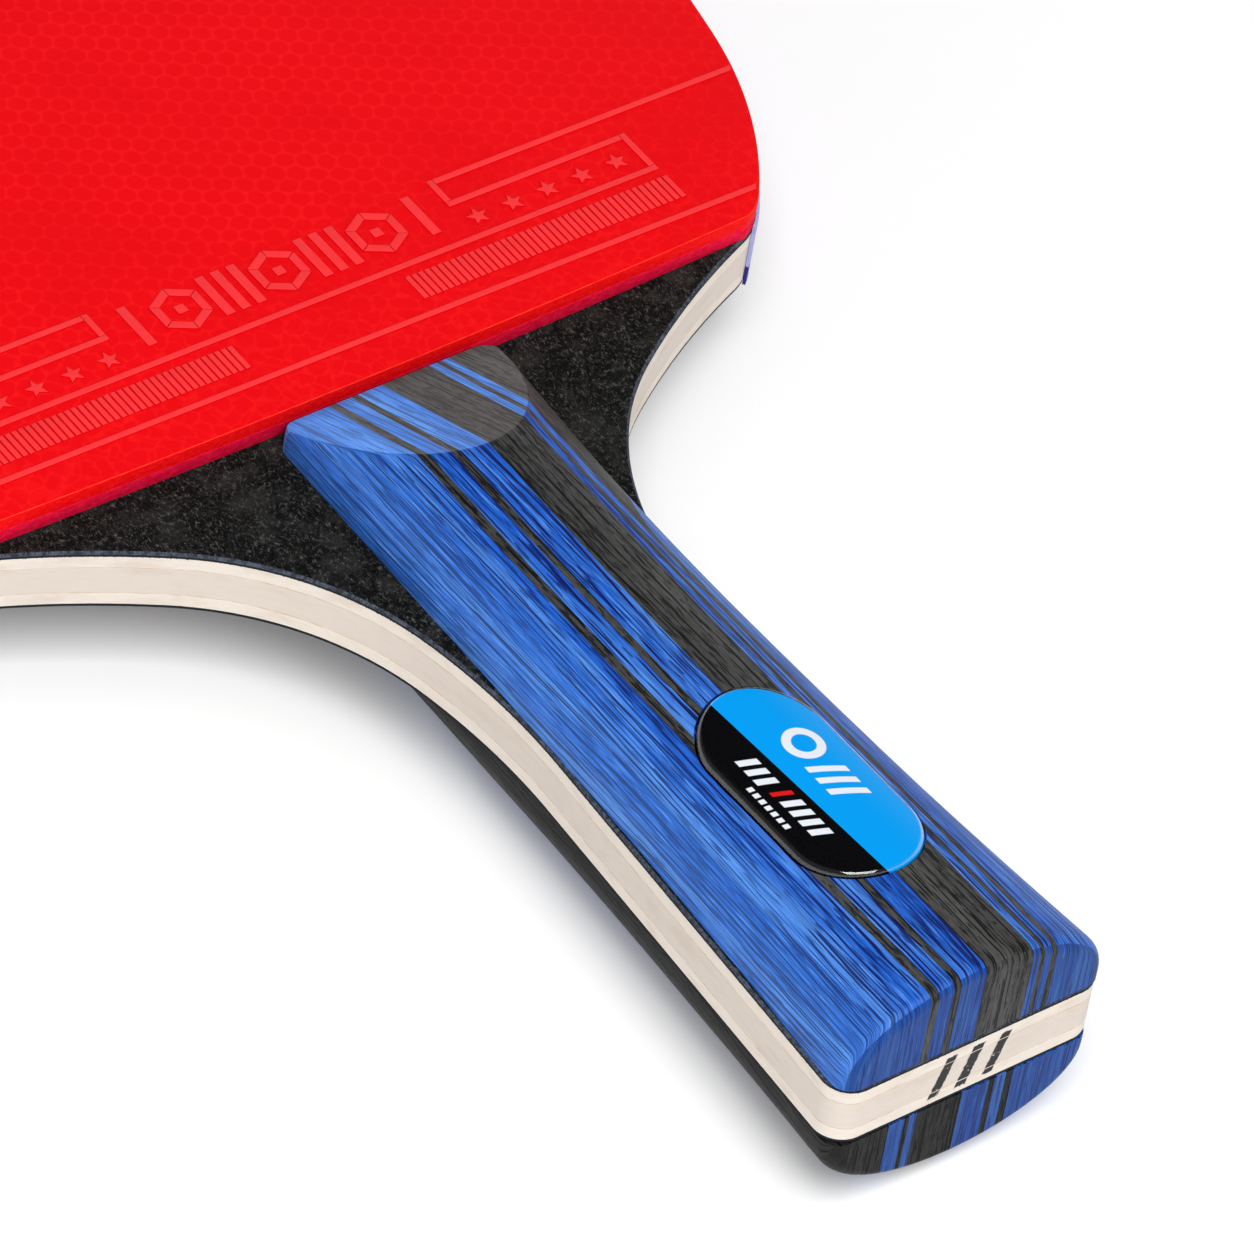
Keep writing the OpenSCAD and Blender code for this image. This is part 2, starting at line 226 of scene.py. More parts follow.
def blade_side(f):
    """Right side of the blade from the butt to its widest place: points and normals."""
    flare = math.degrees(math.atan2(f.waist_distance, (f.waist_width - f.butt_width) / 2))
    corner_x = f.butt_width / 2 - f.butt_corner * math.tan(math.radians(flare) / 2)
    corner, outs = arc((corner_x, -f.handle_length), 0, flare, f.butt_corner, 1, 0.3)
    at = np.array([f.waist_width / 2, f.waist_distance - f.handle_length])
    steps = np.linspace(0, 1, 40)[1:-1, None]
    points = [corner, corner[-1] + (at - corner[-1]) * steps]
    outs = [outs, np.repeat(outs[-1:], len(steps), axis=0)]
    heading = flare
    for radius, end, turn in BLADE_BENDS:
        p, n = arc(at, heading, end, radius, turn)
        points.append(p[:-1])
        outs.append(n[:-1])
        at, heading = p[-1], end
    points.append(at[None])
    outs.append(np.array([[1.0, 0.0]]))
    return np.concatenate(points), np.concatenate(outs)


def blade_loop(f, grow=0.0):
    """The whole outline of the blade, anticlockwise, moved outwards by grow."""
    side, out = blade_side(f)
    side = side + out * grow
    radius, centre_y = side[-1]
    turn = np.linspace(0, math.pi, 300)[1:-1]
    tip = np.stack([radius * np.cos(turn), centre_y + radius * np.sin(turn)], axis=1)
    left = side[::-1] * [-1, 1]
    return np.concatenate([side, tip, left])


EDGE_RADIUS = 1400.0  # radius of the rubbers' edge at the handle
EDGE_END = 0.15  # how far that edge's last point stays from the blade's side


def edge_y(x):
    """The slightly bowed rubber edge at the handle."""
    return EDGE_RADIUS - np.sqrt(EDGE_RADIUS**2 - np.square(x))


def rubber_loop(f, inset=0.0, short=0.0):
    """Outline of a rubber, anticlockwise from the left end of its edge at the handle."""
    loop = blade_loop(f, -inset)
    keep = loop[loop[:, 1] > edge_y(loop[:, 0]) + inset + short]
    reach = abs(keep[0, 0]) - EDGE_END
    x = np.linspace(-reach, reach, 160)
    low = np.stack([x, edge_y(x) + inset + short], axis=1)
    return np.concatenate([low, keep])


def pill_loop(width, long, count=40):
    """A stadium along y, anticlockwise."""
    r = width / 2
    reach = (long - width) / 2
    t = np.linspace(0, math.pi, count)
    top = np.stack([r * np.cos(t), reach + r * np.sin(t)], axis=1)
    return np.concatenate([top, -top])


def half_width(f, s):
    """Half width of a scale at a distance s from the butt."""
    off = f.handle_length - s - f.scale_waist_distance
    hollow = np.sqrt(f.scale_flare_radius**2 - np.square(off))
    return f.scale_waist / 2 + f.scale_flare_radius - hollow


DRIFT = 0.2  # how far a scale's middle drifts to the left towards the butt
DRIFT_RUN = 25.0  # length of that drift
LEDGE_RUN = 10.0  # how far past the flare the blade's ledge still limits a scale


def flanks(f, y):
    """Left and right side of a scale in plan: flared, leaned and rounded at its four corners."""
    s = y + f.handle_length
    plain = half_width(f, s)
    middle = f.scale_lean * np.square(np.clip(y / f.scale_lean_start + 1, 0, None))
    middle = middle - DRIFT * np.clip((-y - f.scale_lean_start) / DRIFT_RUN, 0, 1)
    taken = round_off(s, f.scale_corner) + round_off(-f.scale_end_gap - y, f.scale_end_corner)
    flare = (f.butt_width - f.waist_width) / (2 * f.waist_distance)
    blade = f.waist_width / 2 - f.least_ledge + np.clip(f.waist_distance - s, 0, None) * flare
    blade = np.where(s > f.waist_distance + LEDGE_RUN, np.inf, blade)
    left = np.minimum(plain - middle, blade) - taken
    right = np.minimum(plain + middle, blade) - taken
    return -left, right


def round_off(s, radius):
    """What a round of that radius takes off at a distance s from the end."""
    near = np.clip(radius - s, 0, radius)
    return radius - np.sqrt(np.clip(radius**2 - near**2, 0, None))


def crown_rise(f, s):
    """Height of the crown above the upright side of a scale."""
    return f.crown_height - f.round_start - round_off(s, f.butt_edge_round)


def crown_at(f, x, y):
    """Height of a scale's crown over a place in plan."""
    left, right = flanks(f, y)
    share = np.clip((x - (left + right) / 2) / ((right - left) / 2), -1, 1)
    return f.round_start + crown_rise(f, y + f.handle_length) * np.sqrt(1 - share**2)


# ---------------------------------------------------------------- meshes


def tip_y(f):
    """The far end of the head."""
    p = blade_side(f)[0][-1]
    return p[1] + p[0]


def placed(f, points):
    """Points about the blade's middle, in mm, as points of the part's frame, in metres."""
    shift = (f.handle_length - tip_y(f) - f.tape_glue - f.tape_thickness) / 2
    return (np.asarray(points, float) + [0, shift, f.crown_height]) * MM


def mesh_of(name, points, faces):
    """A mesh from points about the blade's middle, in mm."""
    mesh = bpy.data.meshes.new(name)
    places = placed(lengths(), points).tolist()
    mesh.from_pydata(places, [], [[int(i) for i in face] for face in faces])
    return mesh


def show(name, points, faces, finish, nodes, slot, sharp=35.0):
    """One piece of the paddle: its mesh, its finish, the body it rides on and what it replaces."""
    mesh = mesh_of(name, points, faces)
    mesh.validate()
    mesh.shade_smooth()
    mesh.set_sharp_from_angle(angle=math.radians(sharp))
    mesh.materials.append(finish)
    piece = bpy.data.objects.new(name, mesh)
    bpy.context.scene.collection.objects.link(piece)
    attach(piece, BODY)
    if nodes:
        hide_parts(*nodes)
    return piece


def ring_at(loop, z):
    """A loop in plan as points of one height, or of one height each."""
    return np.column_stack([loop, np.broadcast_to(z, len(loop))])


def stack(loops):
    """A closed solid through loops of equal length, each wound anticlockwise."""
    count = len(loops[0])
    faces = [list(range(count))[::-1]]
    for a in range(0, (len(loops) - 1) * count, count):
        b = a + count
        for i in range(count):
            j = (i + 1) % count
            faces.append([a + i, a + j, b + j, b + i])
    faces.append([(len(loops) - 1) * count + i for i in range(count)])
    return np.concatenate(loops), faces


def layered(loop_at, profile):
    """A solid whose rim follows a profile of (inset, height) pairs, from the bottom up."""
    return stack([ring_at(loop_at(inset), z) for inset, z in profile])


def upside_down(points, faces):
    """A front piece as its mirror image on the back."""
    return points * [1, 1, -1], [face[::-1] for face in faces]


def merged(parts):
    """Several (points, faces) as one."""
    points, faces, start = [], [], 0
    for p, q in parts:
        points.append(p)
        faces.extend([[i + start for i in face] for face in q])
        start += len(p)
    return np.concatenate(points), faces


# ---------------------------------------------------------------- finishes


class Nodes:
    """The nodes of one shader tree, built up step by step."""

    def __init__(self, tree):
        self.tree = tree
        tree.nodes.clear()

    def node(self, kind, links=None, **settings):
        """A new node with its settings, and with values or sockets on its inputs."""
        made = self.tree.nodes.new("ShaderNode" + kind)
        for key, value in settings.items():
            setattr(made, key, value)
        for key, value in (links or {}).items():
            self.feed(made.inputs[key], value)
        return made

    def feed(self, socket, value):
        """Link a socket to another one, or set its value."""
        if isinstance(value, bpy.types.NodeSocket):
            self.tree.links.new(value, socket)
        elif socket.type == "RGBA" and len(value) == 3:
            socket.default_value = (*value, 1)
        else:
            socket.default_value = value

    def vector(self, operation, a, b=None, scale=None):
        """A step of vector arithmetic."""
        links = {0: a}
        if b is not None:
            links[1] = b
        if scale is not None:
            links["Scale"] = scale
        made = self.node("VectorMath", links, operation=operation)
        return made.outputs["Value" if operation == "LENGTH" else 0]

    def maths(self, operation, a, b=0.5, c=0.0, clamp=False):
        """A step of plain arithmetic."""
        made = self.node("Math", {0: a, 1: b, 2: c}, operation=operation, use_clamp=clamp)
        return made.outputs[0]

    def off(self, value, middle=0.5):
        """How far a value is off a middle one, with its sign."""
        return self.maths("SUBTRACT", value, middle)

    def gap(self, value, middle=0.0):
        """The same without its sign."""
        return self.maths("ABSOLUTE", self.off(value, middle) if middle else value)

    def times(self, a, b):
        """One value times another."""
        return self.maths("MULTIPLY", a, b)

    def fold(self, operation, values):
        """Several values as one, two at a time."""
        return reduce(lambda a, b: self.maths(operation, a, b), values)

    def part(self, vector, axis):
        """One coordinate of a vector."""
        return self.node("SeparateXYZ", {0: vector}).outputs["XYZ".index(axis)]

    def join(self, x, y, z):
        """A vector from its coordinates."""
        return self.node("CombineXYZ", {0: x, 1: y, 2: z}).outputs[0]

    def fade(self, value, low, high, to_low=0.0, to_high=1.0):
        """A smooth step from one result to another, between two values."""
        links = {
            "Value": value,
            "From Min": low,
            "From Max": high,
            "To Min": to_low,
            "To Max": to_high,
        }
        return self.node("MapRange", links, interpolation_type="SMOOTHSTEP").outputs["Result"]

    def noise(self, place, stretch, detail=2.0, rough=0.5, warp=0.0, shift=(0, 0, 0)):
        """Noise over a place that is stretched, then shifted."""
        links = {0: place, 1: stretch, 2: shift}
        at = self.node("VectorMath", links, operation="MULTIPLY_ADD").outputs[0]
        links = {
            "Vector": at,
            "Scale": 1.0,
            "Detail": detail,
            "Roughness": rough,
            "Distortion": warp,
        }
        return self.node("TexNoise", links).outputs["Fac"]

    def mix(self, factor, a, b, blend="MIX"):
        """Between two colours."""
        made = self.node("Mix", data_type="RGBA", blend_type=blend)
        self.feed(made.inputs["Factor"], factor)
        self.feed(made.inputs[6], a)
        self.feed(made.inputs[7], b)
        return made.outputs[2]

    def blend(self, factor, a, b):
        """Between two plain values."""
        return self.node("Mix", {0: factor, 2: a, 3: b}, data_type="FLOAT").outputs[0]

    def normal(self, axis):
        """One coordinate of the way that the surface faces."""
        return self.part(self.node("NewGeometry").outputs["Normal"], axis)

    def facing_up(self):
        """1 on faces that look up or down, 0 on upright ones."""
        return self.gap(self.normal("Z"))


class Finish(Nodes):
    """A material. Its place is the piece's own, in mm."""

    def __init__(self, name):
        self.material = bpy.data.materials.new(name)
        self.material.use_nodes = True
        super().__init__(self.material.node_tree)
        here = self.node("TexCoord").outputs["Object"]
        self.place = self.vector("SCALE", here, scale=1 / MM)

    def bump(self, height, distance, strength=1.0):
        """A bumpy normal, from a height and how many mm a height of 1 stands for."""
        links = {"Height": height, "Distance": distance * MM, "Strength": strength}
        return self.node("Bump", links).outputs["Normal"]

    def surface(self, base, roughness, normal=None, **values):
        """The material, once it has its principled shader."""
        links = {"Base Color": base, "Roughness": roughness}
        if normal is not None:
            links["Normal"] = normal
        links.update({key.replace("_", " "): value for key, value in values.items()})
        return self.closed(self.node("BsdfPrincipled", links))

    def closed(self, shader):
        """The material, once a shader is linked to its output."""
        self.node("OutputMaterial", {"Surface": shader.outputs[0]})
        return self.material


def blade_z(m):
    """Height above the blade's middle, in mm."""
    return m.off(m.part(m.place, "Z"), lengths().crown_height)


def from_rubber(f):
    """The piece's own y at the rubber edge, in mm."""
    return (f.handle_length - tip_y(f)) / 2


GRAIN_SWAY = 1.2  # how far the grain wanders sideways, in mm
# Sets of dark lines in the grain: pitch and width in mm, strength, and a shift of the noise.
GRAIN_SETS = ((1.7, 0.17, 1.0, 20), (0.8, 0.12, 0.95, 44))


def along_grain(m, end_on, on_side, seed):
    """A place across and along the grain, rolled out flat where the wood turns down."""
    f = lengths()
    drop = m.off(m.gap(blade_z(m)), f.crown_height)
    butt = (f.handle_length + tip_y(f) + f.tape_glue + f.tape_thickness) / 2
    run = m.blend(end_on, m.maths("ADD", m.part(m.place, "Y"), butt), drop)
    x = m.part(m.place, "X")
    rolled = m.times(m.maths("SIGN", x), m.times(drop, on_side))
    place = m.join(m.maths("SUBTRACT", x, rolled), run, seed)
    wave = m.noise(place, (0.12, 0.02, 1.0))
    return m.vector("ADD", place, m.join(m.times(m.off(wave), GRAIN_SWAY), 0.0, 0.0))


def grain_lines(m, place, chop, pitch, width, shift):
    """Mask of broken dark lines along the grain."""
    wander = m.noise(place, (0.2 / pitch, 0.02, 1.0), shift=(shift, 1, 7))
    turn = m.maths("DIVIDE", m.part(place, "X"), pitch)
    turn = m.maths("ADD", m.times(wander, 2.0), turn)
    gap = m.times(m.gap(m.maths("FRACT", turn), 0.5), pitch)
    broken = m.noise(place, (1.2 / pitch, 0.15 * chop, 1.0), 2.0, 0.6, shift=(shift, 31, 2))
    return m.times(m.fade(gap, width, width / 2), m.fade(broken, 0.44, 0.52))


def dyed_veneer(name, base, deep, light, seed=0.0, end_tone=0.29, gloss=0.15, chop=0.4):
    """Dyed veneer: fine streaks that turn down over the butt, painted sheen on the flat cut and
    painted light on the sides.

    end_tone is what is left of the colour on the butt, and chop is how short the fibres are.
    """
    m = Finish(name)
    end_on = m.fade(m.gap(m.normal("Y")), 0.67, 0.71)
    # Mask of the flat cut at the head end, which gets a painted sheen and less gloss.
    painted_bevel_sheen = m.fade(m.normal("Y"), 0.22, 0.34)
    on_side = m.fade(m.gap(m.normal("X")), 0.3, 0.85)
    place = along_grain(m, end_on, on_side, seed)

    broad = m.noise(place, (0.4, 0.014, 1.0), 2.0, 0.5, shift=(0, 3, 1))
    comb = m.noise(place, (2.4, 0.08 * chop, 1.0), 2.0, 0.6, shift=(0, 9, 4))
    fibre = m.noise(place, (5.2, 0.55 * chop, 1.0), 2.0, 0.6, shift=(0, 5, 2))
    shares = ((broad, 0.2), (comb, 0.34), (fibre, 0.46))
    tone = m.fold("ADD", [m.times(layer, share) for layer, share in shares])
    shade = m.mix(m.fade(tone, 0.51, 0.65, 0.0, 0.75), base, light)
    shade = m.mix(m.fade(tone, 0.5, 0.4, 0.0, 0.9), shade, deep)
    patch = m.noise(place, (0.3, 0.02, 1.0), 3.0, 0.6, shift=(5, 5, 11))
    shade = m.mix(m.fade(patch, 0.42, 0.68, 0.0, 0.45), shade, light)

    cuts = []
    for pitch, width, level, shift in GRAIN_SETS:
        cuts.append(grain_lines(m, place, chop, pitch, width, shift))
        shade = m.mix(m.times(cuts[-1], level), shade, deep)
    pore = m.noise(place, (4.0, 0.5 * chop, 1.0), 1.0, 0.5, shift=(0, 8, 8))
    pore = m.fade(pore, 0.58, 0.62)
    shade = m.mix(m.times(pore, 0.75), shade, deep)

    # Painted sheen: the pale streak colour is added over the flat cut.
    shade = m.mix(painted_bevel_sheen, shade, tinted(light, 0.4, 0.03), blend="ADD")
    # Painted light: faces that look to the left or right are lightened towards the pale streak
    # colour.
    shade = m.mix(m.times(on_side, 0.15), shade, light)
    shade = m.mix(m.times(end_on, 1 - end_tone), shade, tinted(base, 0.3))
    relief = m.maths("SUBTRACT", m.times(comb, 0.5), m.fold("MAXIMUM", cuts))
    relief = m.maths("SUBTRACT", relief, m.times(pore, 0.7))
    shine = m.blend(painted_bevel_sheen, gloss, gloss * 0.15)
    rough = m.fade(tone, 0.4, 0.7, 0.46, 0.38)
    return m.surface(shade, rough, m.bump(relief, 0.05, 0.6), IOR=1.5, Specular_IOR_Level=shine)


# The stamp on the butt: bars by their middle and half width, in mm, with their slant.
STAMP_BARS = ((-3.4, 0.62), (-0.1, 0.7), (3.2, 0.62))
STAMP_SLANT = 0.32
STAMP_HALF = 2.5  # half the height of a bar


def stamp(m, z):
    """Mask of the worn stamp on the butt."""
    ragged = m.off(m.noise(m.place, (1.6, 1.6, 1.6), 3.0, 0.7))
    x = m.maths("SUBTRACT", m.part(m.place, "X"), m.times(z, STAMP_SLANT))
    x = m.maths("ADD", x, m.times(ragged, 0.5))
    high = m.maths("ADD", m.gap(z), ragged)
    bars = [
        m.fade(m.gap(x, middle), half + 0.07, half - 0.07) for middle, half in STAMP_BARS
    ]
    worn = m.fade(m.noise(m.place, (1.3, 1.3, 1.6), 3.0, 0.7, shift=(3, 0, 8)), 0.30, 0.38)
    marks = m.times(m.fade(high, STAMP_HALF + 0.05, STAMP_HALF - 0.05), m.fold("MAXIMUM", bars))
    return m.times(m.times(marks, worn), m.fade(m.normal("Y"), -0.9, -0.98))


def pale_ply(name, base, glue_at, black_at=None):
    """Pale wood on its sawn rim: thin glue lines, torn black threads and a stamp on the butt."""
    c = bpy.context.scene.paddle_colours
    m = Finish(name)
    along = m.noise(m.place, (0.5, 0.5, 3.4), 3.0, 0.55)
    fine = m.noise(m.place, (5.0, 5.0, 11.0), 2.0, 0.6)
    blotch = m.noise(m.place, (0.16, 0.16, 0.4), 3.0, 0.55)
    shade = m.mix(m.fade(along, 0.46, 0.70, 0.0, 0.25), base, c.wood_shade)
    shade = m.mix(m.fade(blotch, 0.5, 0.75, 0.0, 0.5), shade, c.wood_shade)
    shade = m.mix(m.fade(fine, 0.58, 0.78, 0.0, 0.35), shade, c.wood_shade)
    z = blade_z(m)
    wobble = m.times(m.off(m.noise(m.place, (0.3, 0.3, 0.0))), 0.2)
    for height in glue_at:
        gap = m.gap(m.maths("ADD", m.off(z, height), wobble))
        broken = m.noise(m.place, (0.8, 0.8, 0.0), shift=(7, 2, 0))
        line = m.times(m.fade(gap, 0.06, 0.02), m.fade(broken, 0.34, 0.6, 0.2, 0.9))
        shade = m.mix(line, shade, c.glue)
    if black_at is not None:
        torn = m.noise(m.place, (4.5, 4.5, 0.0), 3.0, 0.7)
        reach = m.fade(torn, 0.4, 0.72, -0.02, 0.1)
        thread = m.maths("SUBTRACT", m.gap(m.gap(z), black_at), reach)
        shade = m.mix(m.fade(thread, 0.015, -0.015), shade, tinted(c.ply_edge, 0.3))
    shade = m.mix(stamp(m, z), shade, c.ink)
    bumps = m.maths("ADD", along, m.times(fine, 0.6))
    return m.surface(shade, 0.6, m.bump(bumps, 0.015, 0.5), IOR=1.5, Specular_IOR_Level=0.3)


# Sets of hairs in the black plies: their turn in radians, fineness and strength.
HAIR_SETS = ((0.12, 1.0, 0.8), (-0.35, 1.3, 0.65), (0.75, 0.8, 0.4))


def black_ply(name):
    """Black dyed face ply: short pale hairs on the face, slate on the cut edge."""
    c = bpy.context.scene.paddle_colours
    m = Finish(name)
    shade = c.ply_black
    hairs = []
    for turn, size, level in HAIR_SETS:
        spin = m.node("VectorRotate", {"Vector": m.place, "Angle": turn}, rotation_type="Z_AXIS")
        stretch = (2.6 * size, 0.75 * size, 0.0)
        curl = m.noise(spin.outputs[0], stretch, 2.0, 0.5, 0.4, (turn * 90, 4, 1))
        kept = m.noise(m.place, (1.6, 1.6, 0.0), shift=(turn * 50, 9, 3))
        hair = m.times(m.fade(m.gap(curl, 0.5), 0.035, 0.008), m.fade(kept, 0.45, 0.68))
        shade = m.mix(m.times(hair, level), shade, c.ply_fibre)
        hairs.append(hair)
    pits = m.noise(m.place, (3.4, 1.5, 0.0), 3.0, 0.7, shift=(2, 2, 2))
    shade = m.mix(m.fade(pits, 0.52, 0.36, 0.0, 0.8), shade, tinted(c.ply_black, 0.25))
    cloud = m.noise(m.place, (0.3, 0.3, 1.0), 3.0, 0.65)
    shade = m.mix(m.fade(cloud, 0.45, 0.7, 0.0, 0.25), shade, tinted(c.ply_fibre, 0.5))
    threads = m.noise(m.place, (2.4, 2.4, 1.2), 3.0, 0.7)
    up = m.facing_up()
    edge = m.mix(m.fade(threads, 0.36, 0.66), tinted(c.ply_edge, 0.35), tinted(c.ply_edge, 1.2))
    edge = m.mix(m.fade(up, 0.5, 0.2), edge, tinted(c.ply_edge, 0.25))
    shade = m.mix(m.fade(up, 0.97, 0.75), shade, edge)
    height = m.maths("ADD", m.fold("MAXIMUM", hairs), m.times(pits, 0.8))
    return m.surface(shade, 0.7, m.bump(height, 0.06, 0.7), IOR=1.45, Specular_IOR_Level=0.05)


def pip_net(m, edge):
    """How far a place is from the middle of the nearest pip, about 1 at the pip's edge.

    Towards the rubber edge the rows of pips are less regular.
    """
    f = lengths()
    loose = m.fade(m.part(m.place, "Y"), edge + 34.0, edge + 12.0, 0.12, 1.0)
    sway_x = m.off(m.noise(m.place, (0.42, 0.42, 0.0)))
    sway_y = m.off(m.noise(m.place, (0.42, 0.42, 0.0), shift=(40, 9, 0)))
    sway = m.vector("SCALE", m.join(sway_x, sway_y, 0.0), scale=m.times(loose, 3.4))
    place = m.vector("MULTIPLY", m.vector("ADD", m.place, sway), (1, 1, 0))
    tile = (f.pip_pitch * math.sqrt(3), f.pip_pitch, 1.0)
    unit = m.vector("DIVIDE", place, tile)
    near = []
    for start in ((0.0, 0.0, 0.0), (0.5, 0.5, 0.0)):
        cell = m.vector("FRACTION", m.vector("ADD", unit, start))
        away = m.vector("MULTIPLY", m.vector("SUBTRACT", cell, (0.5, 0.5, 0.0)), tile)
        near.append(m.vector("LENGTH", m.vector("MULTIPLY", away, (1, 1, 0))))
    return m.maths("DIVIDE", m.fold("MINIMUM", near), f.pip_pitch / 2)


def rubber_sheet(name, base, between, lip_highlight, side, specular):
    """Smooth rubber over pips: a faint net between them, a rougher cut edge and a painted
    highlight on its upper edge.
    """
    m = Finish(name)
    edge = from_rubber(lengths())
    net = m.fade(pip_net(m, edge), 0.78, 1.06)
    cloud = m.noise(m.place, (0.06, 0.06, 0.0), 3.0, 0.6)
    shade = m.mix(m.times(net, 0.65), base, between)
    shade = m.mix(m.fade(cloud, 0.4, 0.7, 0.0, 0.5), shade, tinted(base, 0.9))
    place = m.vector("MULTIPLY", m.place, (0.24, 0.24, 0.0))
    crack = m.node("TexVoronoi", {"Vector": place, "Scale": 1.0}, feature="DISTANCE_TO_EDGE")
    low = m.fade(m.part(m.place, "Y"), edge + 14.0, edge + 4.0, 0.0, 0.35)
    shade = m.mix(m.times(m.fade(crack.outputs["Distance"], 0.05, 0.0), low), shade, between)
    up = m.facing_up()
    fleck = m.fade(m.noise(m.place, (1.5, 1.5, 3.0), 3.0, 0.6), 0.4, 0.65)
    shade = m.mix(m.fade(up, 0.85, 0.45), shade, m.mix(fleck, side, tinted(side, 1.15, 0.004)))
    # Painted highlight: the rounded upper edge is painted in the lip colour, brighter in patches.
    bright = m.fade(m.noise(m.place, (0.7, 0.7, 0.0), 3.0, 0.6), 0.3, 0.6, 0.3, 0.9)
    rim = m.times(m.fade(up, 0.9, 0.8), m.fade(up, 0.5, 0.7))
    shade = m.mix(m.times(rim, bright), shade, lip_highlight)
    grain = m.noise(m.place, (14, 14, 14), 2.0, 0.6)
    height = m.maths("ADD", m.times(net, 0.5), m.times(grain, 0.12))
    bumps = m.bump(height, 0.02, 0.5)
    return m.surface(shade, 0.5, bumps, IOR=1.5, Specular_IOR_Level=specular)


def raised_rubber(name):
    """The raised pattern: the same rubber in a paler red, with painted shade on its side walls."""
    c = bpy.context.scene.paddle_colours
    m = Finish(name)
    cloud = m.noise(m.place, (0.5, 0.5, 0.5), 3.0, 0.6)
    shade = m.mix(m.fade(cloud, 0.35, 0.7), tinted(c.red_relief, 0.93), c.red_relief)
    # Painted shade: the side walls are a darker red than the top.
    shade = m.mix(m.fade(m.facing_up(), 0.9, 0.35), shade, tinted(c.red, 0.72))
    return m.surface(shade, 0.4, m.bump(cloud, 0.02, 0.3), IOR=1.5, Specular_IOR_Level=0.06)


def cell_sponge(name, base):
    """Fine cellular sponge on its cut edge."""
    m = Finish(name)
    cells = m.node("TexVoronoi", {"Vector": m.place, "Scale": 3.2, "Randomness": 1.0})
    pits = m.fade(cells.outputs["Distance"], 0.1, 0.45)
    cloud = m.noise(m.place, (1.1, 1.1, 2.5), 4.0, 0.65)
    shade = m.mix(m.fade(cloud, 0.4, 0.62), tinted(base, 0.86), tinted(base, 1.1, 0.008))
    shade = m.mix(m.times(pits, 0.3), shade, tinted(base, 0.75))
    return m.surface(shade, 0.75, m.bump(pits, 0.04, 0.5), IOR=1.45, Specular_IOR_Level=0.04)


BAND_TOP, HEM_TOP = -1.3, -3.75  # heights on the rim where the tape's lower colours start
TAPE_FADE = 0.15  # height over which one colour of the tape passes into the next


def edge_band(name):
    """Woven-look edge tape: a pale band over a dark one, with a hem under them."""
    c = bpy.context.scene.paddle_colours
    m = Finish(name)
    z = blade_z(m)
    weave = m.noise(m.place, (3.0, 3.0, 0.6))
    pale = m.mix(m.fade(weave, 0.35, 0.7), tinted(c.tape, 0.88), c.tape)
    shade = m.mix(m.fade(z, BAND_TOP, BAND_TOP - TAPE_FADE), pale, c.tape_band)
    shade = m.mix(m.fade(z, HEM_TOP, HEM_TOP - TAPE_FADE), shade, c.tape_hem)
    return m.surface(shade, 0.5, m.bump(weave, 0.02, 0.4), IOR=1.45, Specular_IOR_Level=0.3)


def print_ink(name, base, marks):
    """Printed film with the marks of the label in other inks. Each mark is a mask and an ink."""
    m = Finish(name)
    fleck = m.noise(m.place, (7, 7, 0), 3.0, 0.7)
    shade = m.mix(m.fade(fleck, 0.62, 0.78, 0.0, 0.35), base, tinted(base, 1.0, 0.12))
    for mask, ink in marks:
        shade = m.mix(mask(m), shade, ink)
    return m.surface(shade, 0.7, IOR=1.5, Specular_IOR_Level=0.0)


def clear_resin(name):
    """Clear resin over the print: only its gloss shows, most of all on its rounded rim."""
    m = Finish(name)
    fresnel = m.node("Fresnel", {"IOR": 1.5}).outputs[0]
    outside = m.maths("SUBTRACT", 1.0, m.node("NewGeometry").outputs["Backfacing"])
    rim = m.fade(m.facing_up(), 0.96, 0.84, 0.3, 2.2)
    share = m.maths("MULTIPLY", m.times(fresnel, rim), outside, clamp=True)
    scuffs = m.fade(m.noise(m.place, (1.2, 0.5, 1.0)), 0.3, 0.7, 0.03, 0.07)
    gloss = m.node("BsdfGlossy", {"Color": (1, 1, 1), "Roughness": scuffs})
    clear = m.node("BsdfTransparent", {"Color": (0.98, 0.985, 0.99)})
    return m.closed(m.node("MixShader", {0: share, 1: clear.outputs[0], 2: gloss.outputs[0]}))


# ---------------------------------------------------------------- blade


SAWN_EDGE = 0.05  # softened edges of the pale plies
FACE_CHAMFER = 0.28  # wider chamfer of the outer edges of the face plies


class PADDLE_OT_blade(bpy.types.Operator):
    """Make the five plies of the blade"""

    bl_idname = "paddle.blade"
    bl_label = "Blade plies"

    def execute(self, context):
        f = lengths()
        c = context.scene.paddle_colours
        glue_at = (-f.core_top, f.core_top)
        core = pale_ply("Core wood", c.core, glue_at)
        inner = pale_ply("Inner wood", c.inner, glue_at, f.inner_top)
        black = black_ply("Black dyed ply")
        self.ply("core_ply", -f.core_top, f.core_top, core, "core_wood")
        self.ply("front_inner_ply", f.core_top, f.inner_top, inner, "inner_wood")
        self.ply("back_inner_ply", -f.inner_top, -f.core_top, inner, "inner_wood")
        for node, side in (("front_face_ply", 1), ("back_face_ply", -1)):
            self.ply(node, f.inner_top, f.blade_top, black, "dyed_black_wood", side)
        return {"FINISHED"}

    def ply(self, node, low, high, finish, slot, face_side=0):
        """One ply. A face ply is chamfered outside only, and is turned over for the back."""
        if face_side:
            profile = [(0, low), (0, high - FACE_CHAMFER), (FACE_CHAMFER, high)]
        else:
            soft = SAWN_EDGE
            profile = [(soft, low), (0, low + soft), (0, high - soft), (soft, high)]
        f = lengths()
        points, faces = layered(lambda inset: blade_loop(f, -inset), profile)
        if face_side < 0:
            points, faces = upside_down(points, faces)
        show(node + "_fine", points, faces, finish, [node], slot, sharp=30)


# ---------------------------------------------------------------- handle scales


